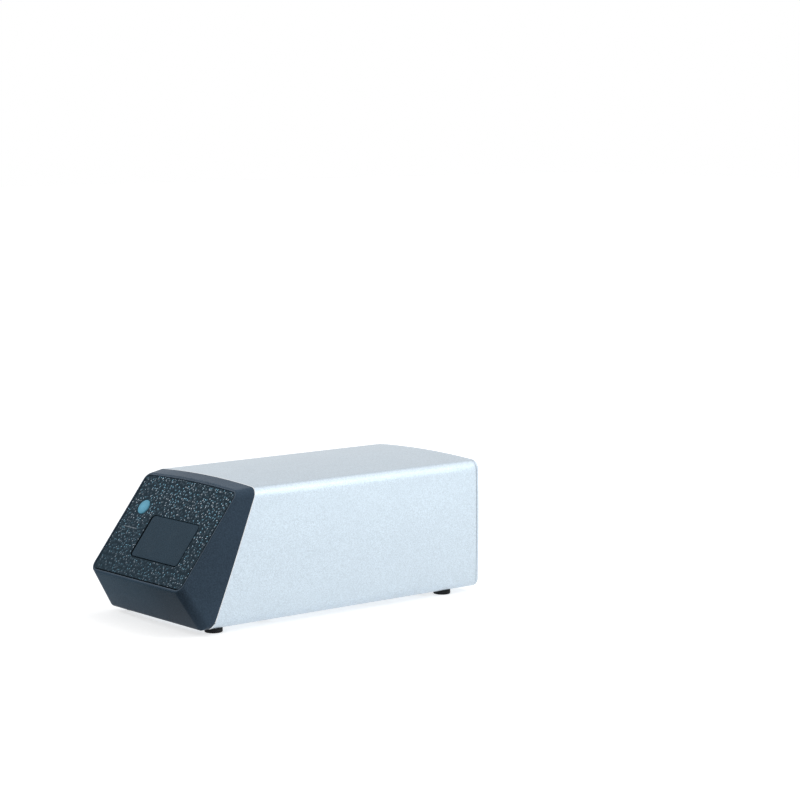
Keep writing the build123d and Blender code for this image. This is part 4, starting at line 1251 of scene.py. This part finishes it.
class SCANNER_OT_boards(bpy.types.Operator):
    """Chassis, main board with its chips, and the erase lamps"""
    bl_idname = "scanner.boards"
    bl_label = "Boards"

    def execute(self, context):
        dress("chassis_plate", "main_board", "board_standoffs", "board_chips", "erase_board",
              "erase_lamps")
        return {"FINISHED"}


class SCANNER_OT_stage(bpy.types.Operator):
    """Stage: a pale floor with a painted reflection before the nose, soft lamps, white surroundings
    and the camera
    """
    bl_idname = "scanner.stage"
    bl_label = "Stage"

    def execute(self, context):
        scene = context.scene
        scene.view_settings.view_transform = "Standard"
        self.floor()
        self.world(scene)
        for lamp in LAMPS:
            self.lamp(*lamp)
        self.camera(scene)
        return {"FINISHED"}

    def floor(self):
        """A pale floor that glows for the camera and in reflections, and keeps shadows. Light other
        than the camera's meets a painted reflection before the nose, which takes away the floor's
        glow:
        deep blue, and black at the nose's right corner, a sheet the camera doesn't see that the chin
        reflects dark."""
        f = Finish("studio_floor")
        tone = f.shades(f.noise(400.0), WHITE, 0.66, 0.69)
        matt = f.add("ShaderNodeBsdfPrincipled", {"Base Color": tone, "Roughness": 0.9})
        away = f.add("ShaderNodeVectorMath", {0: f.place}, out="Value", operation="LENGTH")
        level = away.stretch(*GLOW_REACH, *FLOOR_GLOW) + f.ray("Glossy") * GLOSS_GLOW
        glow = f.add("ShaderNodeEmission", {"Color": f.blend(level, BLACK, WHITE), "Strength": 1.0})
        both = f.add("ShaderNodeAddShader", {0: matt, 1: glow})
        mixed = f.add("ShaderNodeMixShader", {0: f.seen(), 1: matt, 2: both})
        x, y = f.axis("X"), f.axis("Y")
        # Painted reflection: a deep blue sheet, black towards the nose's right corner, that the chin
        # reflects
        tone = f.blend(x.stretch(*PAINTED_REFLECTION_TURN), PAINTED_REFLECTION_BLUE, BLACK)
        dark = f.add("ShaderNodeEmission", {"Color": tone, "Strength": 1.0})
        # Mask of the painted reflection before the nose, for light other than the camera's
        flag = x.stretch(*PAINTED_REFLECTION_X) * y.stretch(*PAINTED_REFLECTION_Y, 0.95, 0.0)
        painted_reflection_share = flag * (1.0 - f.ray("Camera"))
        data = bpy.data.meshes.new("studio_floor")
        far = 6.0
        corners = [(-far, -far, 0), (far, -far, 0), (far, far, 0), (-far, far, 0)]
        data.from_pydata(corners, [], [(0, 1, 2, 3)])
        data.materials.append(f.close(f.add("ShaderNodeMixShader", {0: painted_reflection_share, 1: mixed, 2: dark})))
        item = put("studio_floor", data)

    def world(self, scene):
        """White surroundings for the camera and in reflections, dimmer light on matt surfaces."""
        scene.world = bpy.data.worlds.new("surroundings")
        nodes = Nodes(scene.world)
        ambient = (scene.scanner_stage.ambient,) * 3
        shade = nodes.blend(nodes.seen(), ambient, WHITE)
        back = nodes.add("ShaderNodeBackground", {"Color": shade})
        nodes.add("ShaderNodeOutputWorld", {"Surface": back})

    def lamp(self, name, energy, size, place, aim, colour):
        """A soft rectangular lamp that the camera doesn't see."""
        data = bpy.data.lights.new(name, "AREA")
        data.shape = "RECTANGLE"
        data.size, data.size_y = size
        data.energy = energy
        data.color = colour
        item = put(name, data)
        item.location = place
        item.rotation_euler = (Vector(aim) - Vector(place)).to_track_quat("-Z", "Y").to_euler()
        item.visible_camera = False

    def camera(self, scene):
        """The camera of the stage's place, turn, angle and lens."""
        view = scene.scanner_stage
        a, e = view.azimuth, view.elevation
        back = Vector((math.sin(a) * math.cos(e), -math.cos(a) * math.cos(e), math.sin(e)))
        data = bpy.data.cameras.new("photo_view")
        data.lens = view.lens
        data.sensor_width = 36.0
        data.clip_start, data.clip_end = 0.05, 50.0
        item = put("photo_view", data)
        item.location = view.eye
        item.rotation_mode = "QUATERNION"
        item.rotation_quaternion = (-back).to_track_quat("-Z", "Y")
        scene.camera = item


OPERATORS = [SCANNER_OT_sleeve, SCANNER_OT_bezel, SCANNER_OT_panel, SCANNER_OT_tray,
             SCANNER_OT_window, SCANNER_OT_rear, SCANNER_OT_feet, SCANNER_OT_drive,
             SCANNER_OT_optics, SCANNER_OT_boards, SCANNER_OT_stage]


class SCANNER_PT_panel(bpy.types.Panel):
    """Lists the pieces and the values that shape them"""
    bl_idname = "SCANNER_PT_panel"
    bl_label = "Imaging-plate scanner"
    bl_space_type = "VIEW_3D"
    bl_region_type = "UI"
    bl_category = "Scanner"

    def draw(self, context):
        layout = self.layout
        scene = context.scene
        for group in (scene.scanner_look, scene.scanner_sizes, scene.scanner_stage):
            box = layout.box()
            for key in group.__annotations__:
                box.prop(group, key)
        for operator in OPERATORS:
            layout.operator(operator.bl_idname)


GROUPS = {"scanner_look": ScannerLook, "scanner_sizes": ScannerSizes,
          "scanner_stage": ScannerStage}


def register():
    for kind in [*GROUPS.values(), *OPERATORS, SCANNER_PT_panel]:
        bpy.utils.register_class(kind)
    for name, kind in GROUPS.items():
        setattr(bpy.types.Scene, name, PointerProperty(type=kind))


def unregister():
    for name in GROUPS:
        delattr(bpy.types.Scene, name)
    for kind in [SCANNER_PT_panel, *reversed(OPERATORS), *reversed(list(GROUPS.values()))]:
        bpy.utils.unregister_class(kind)


def main():
    """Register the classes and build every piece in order."""
    register()
    for operator in OPERATORS:
        getattr(bpy.ops.scanner, operator.bl_idname.split(".")[1])()


if __name__ == "__main__":
    main()
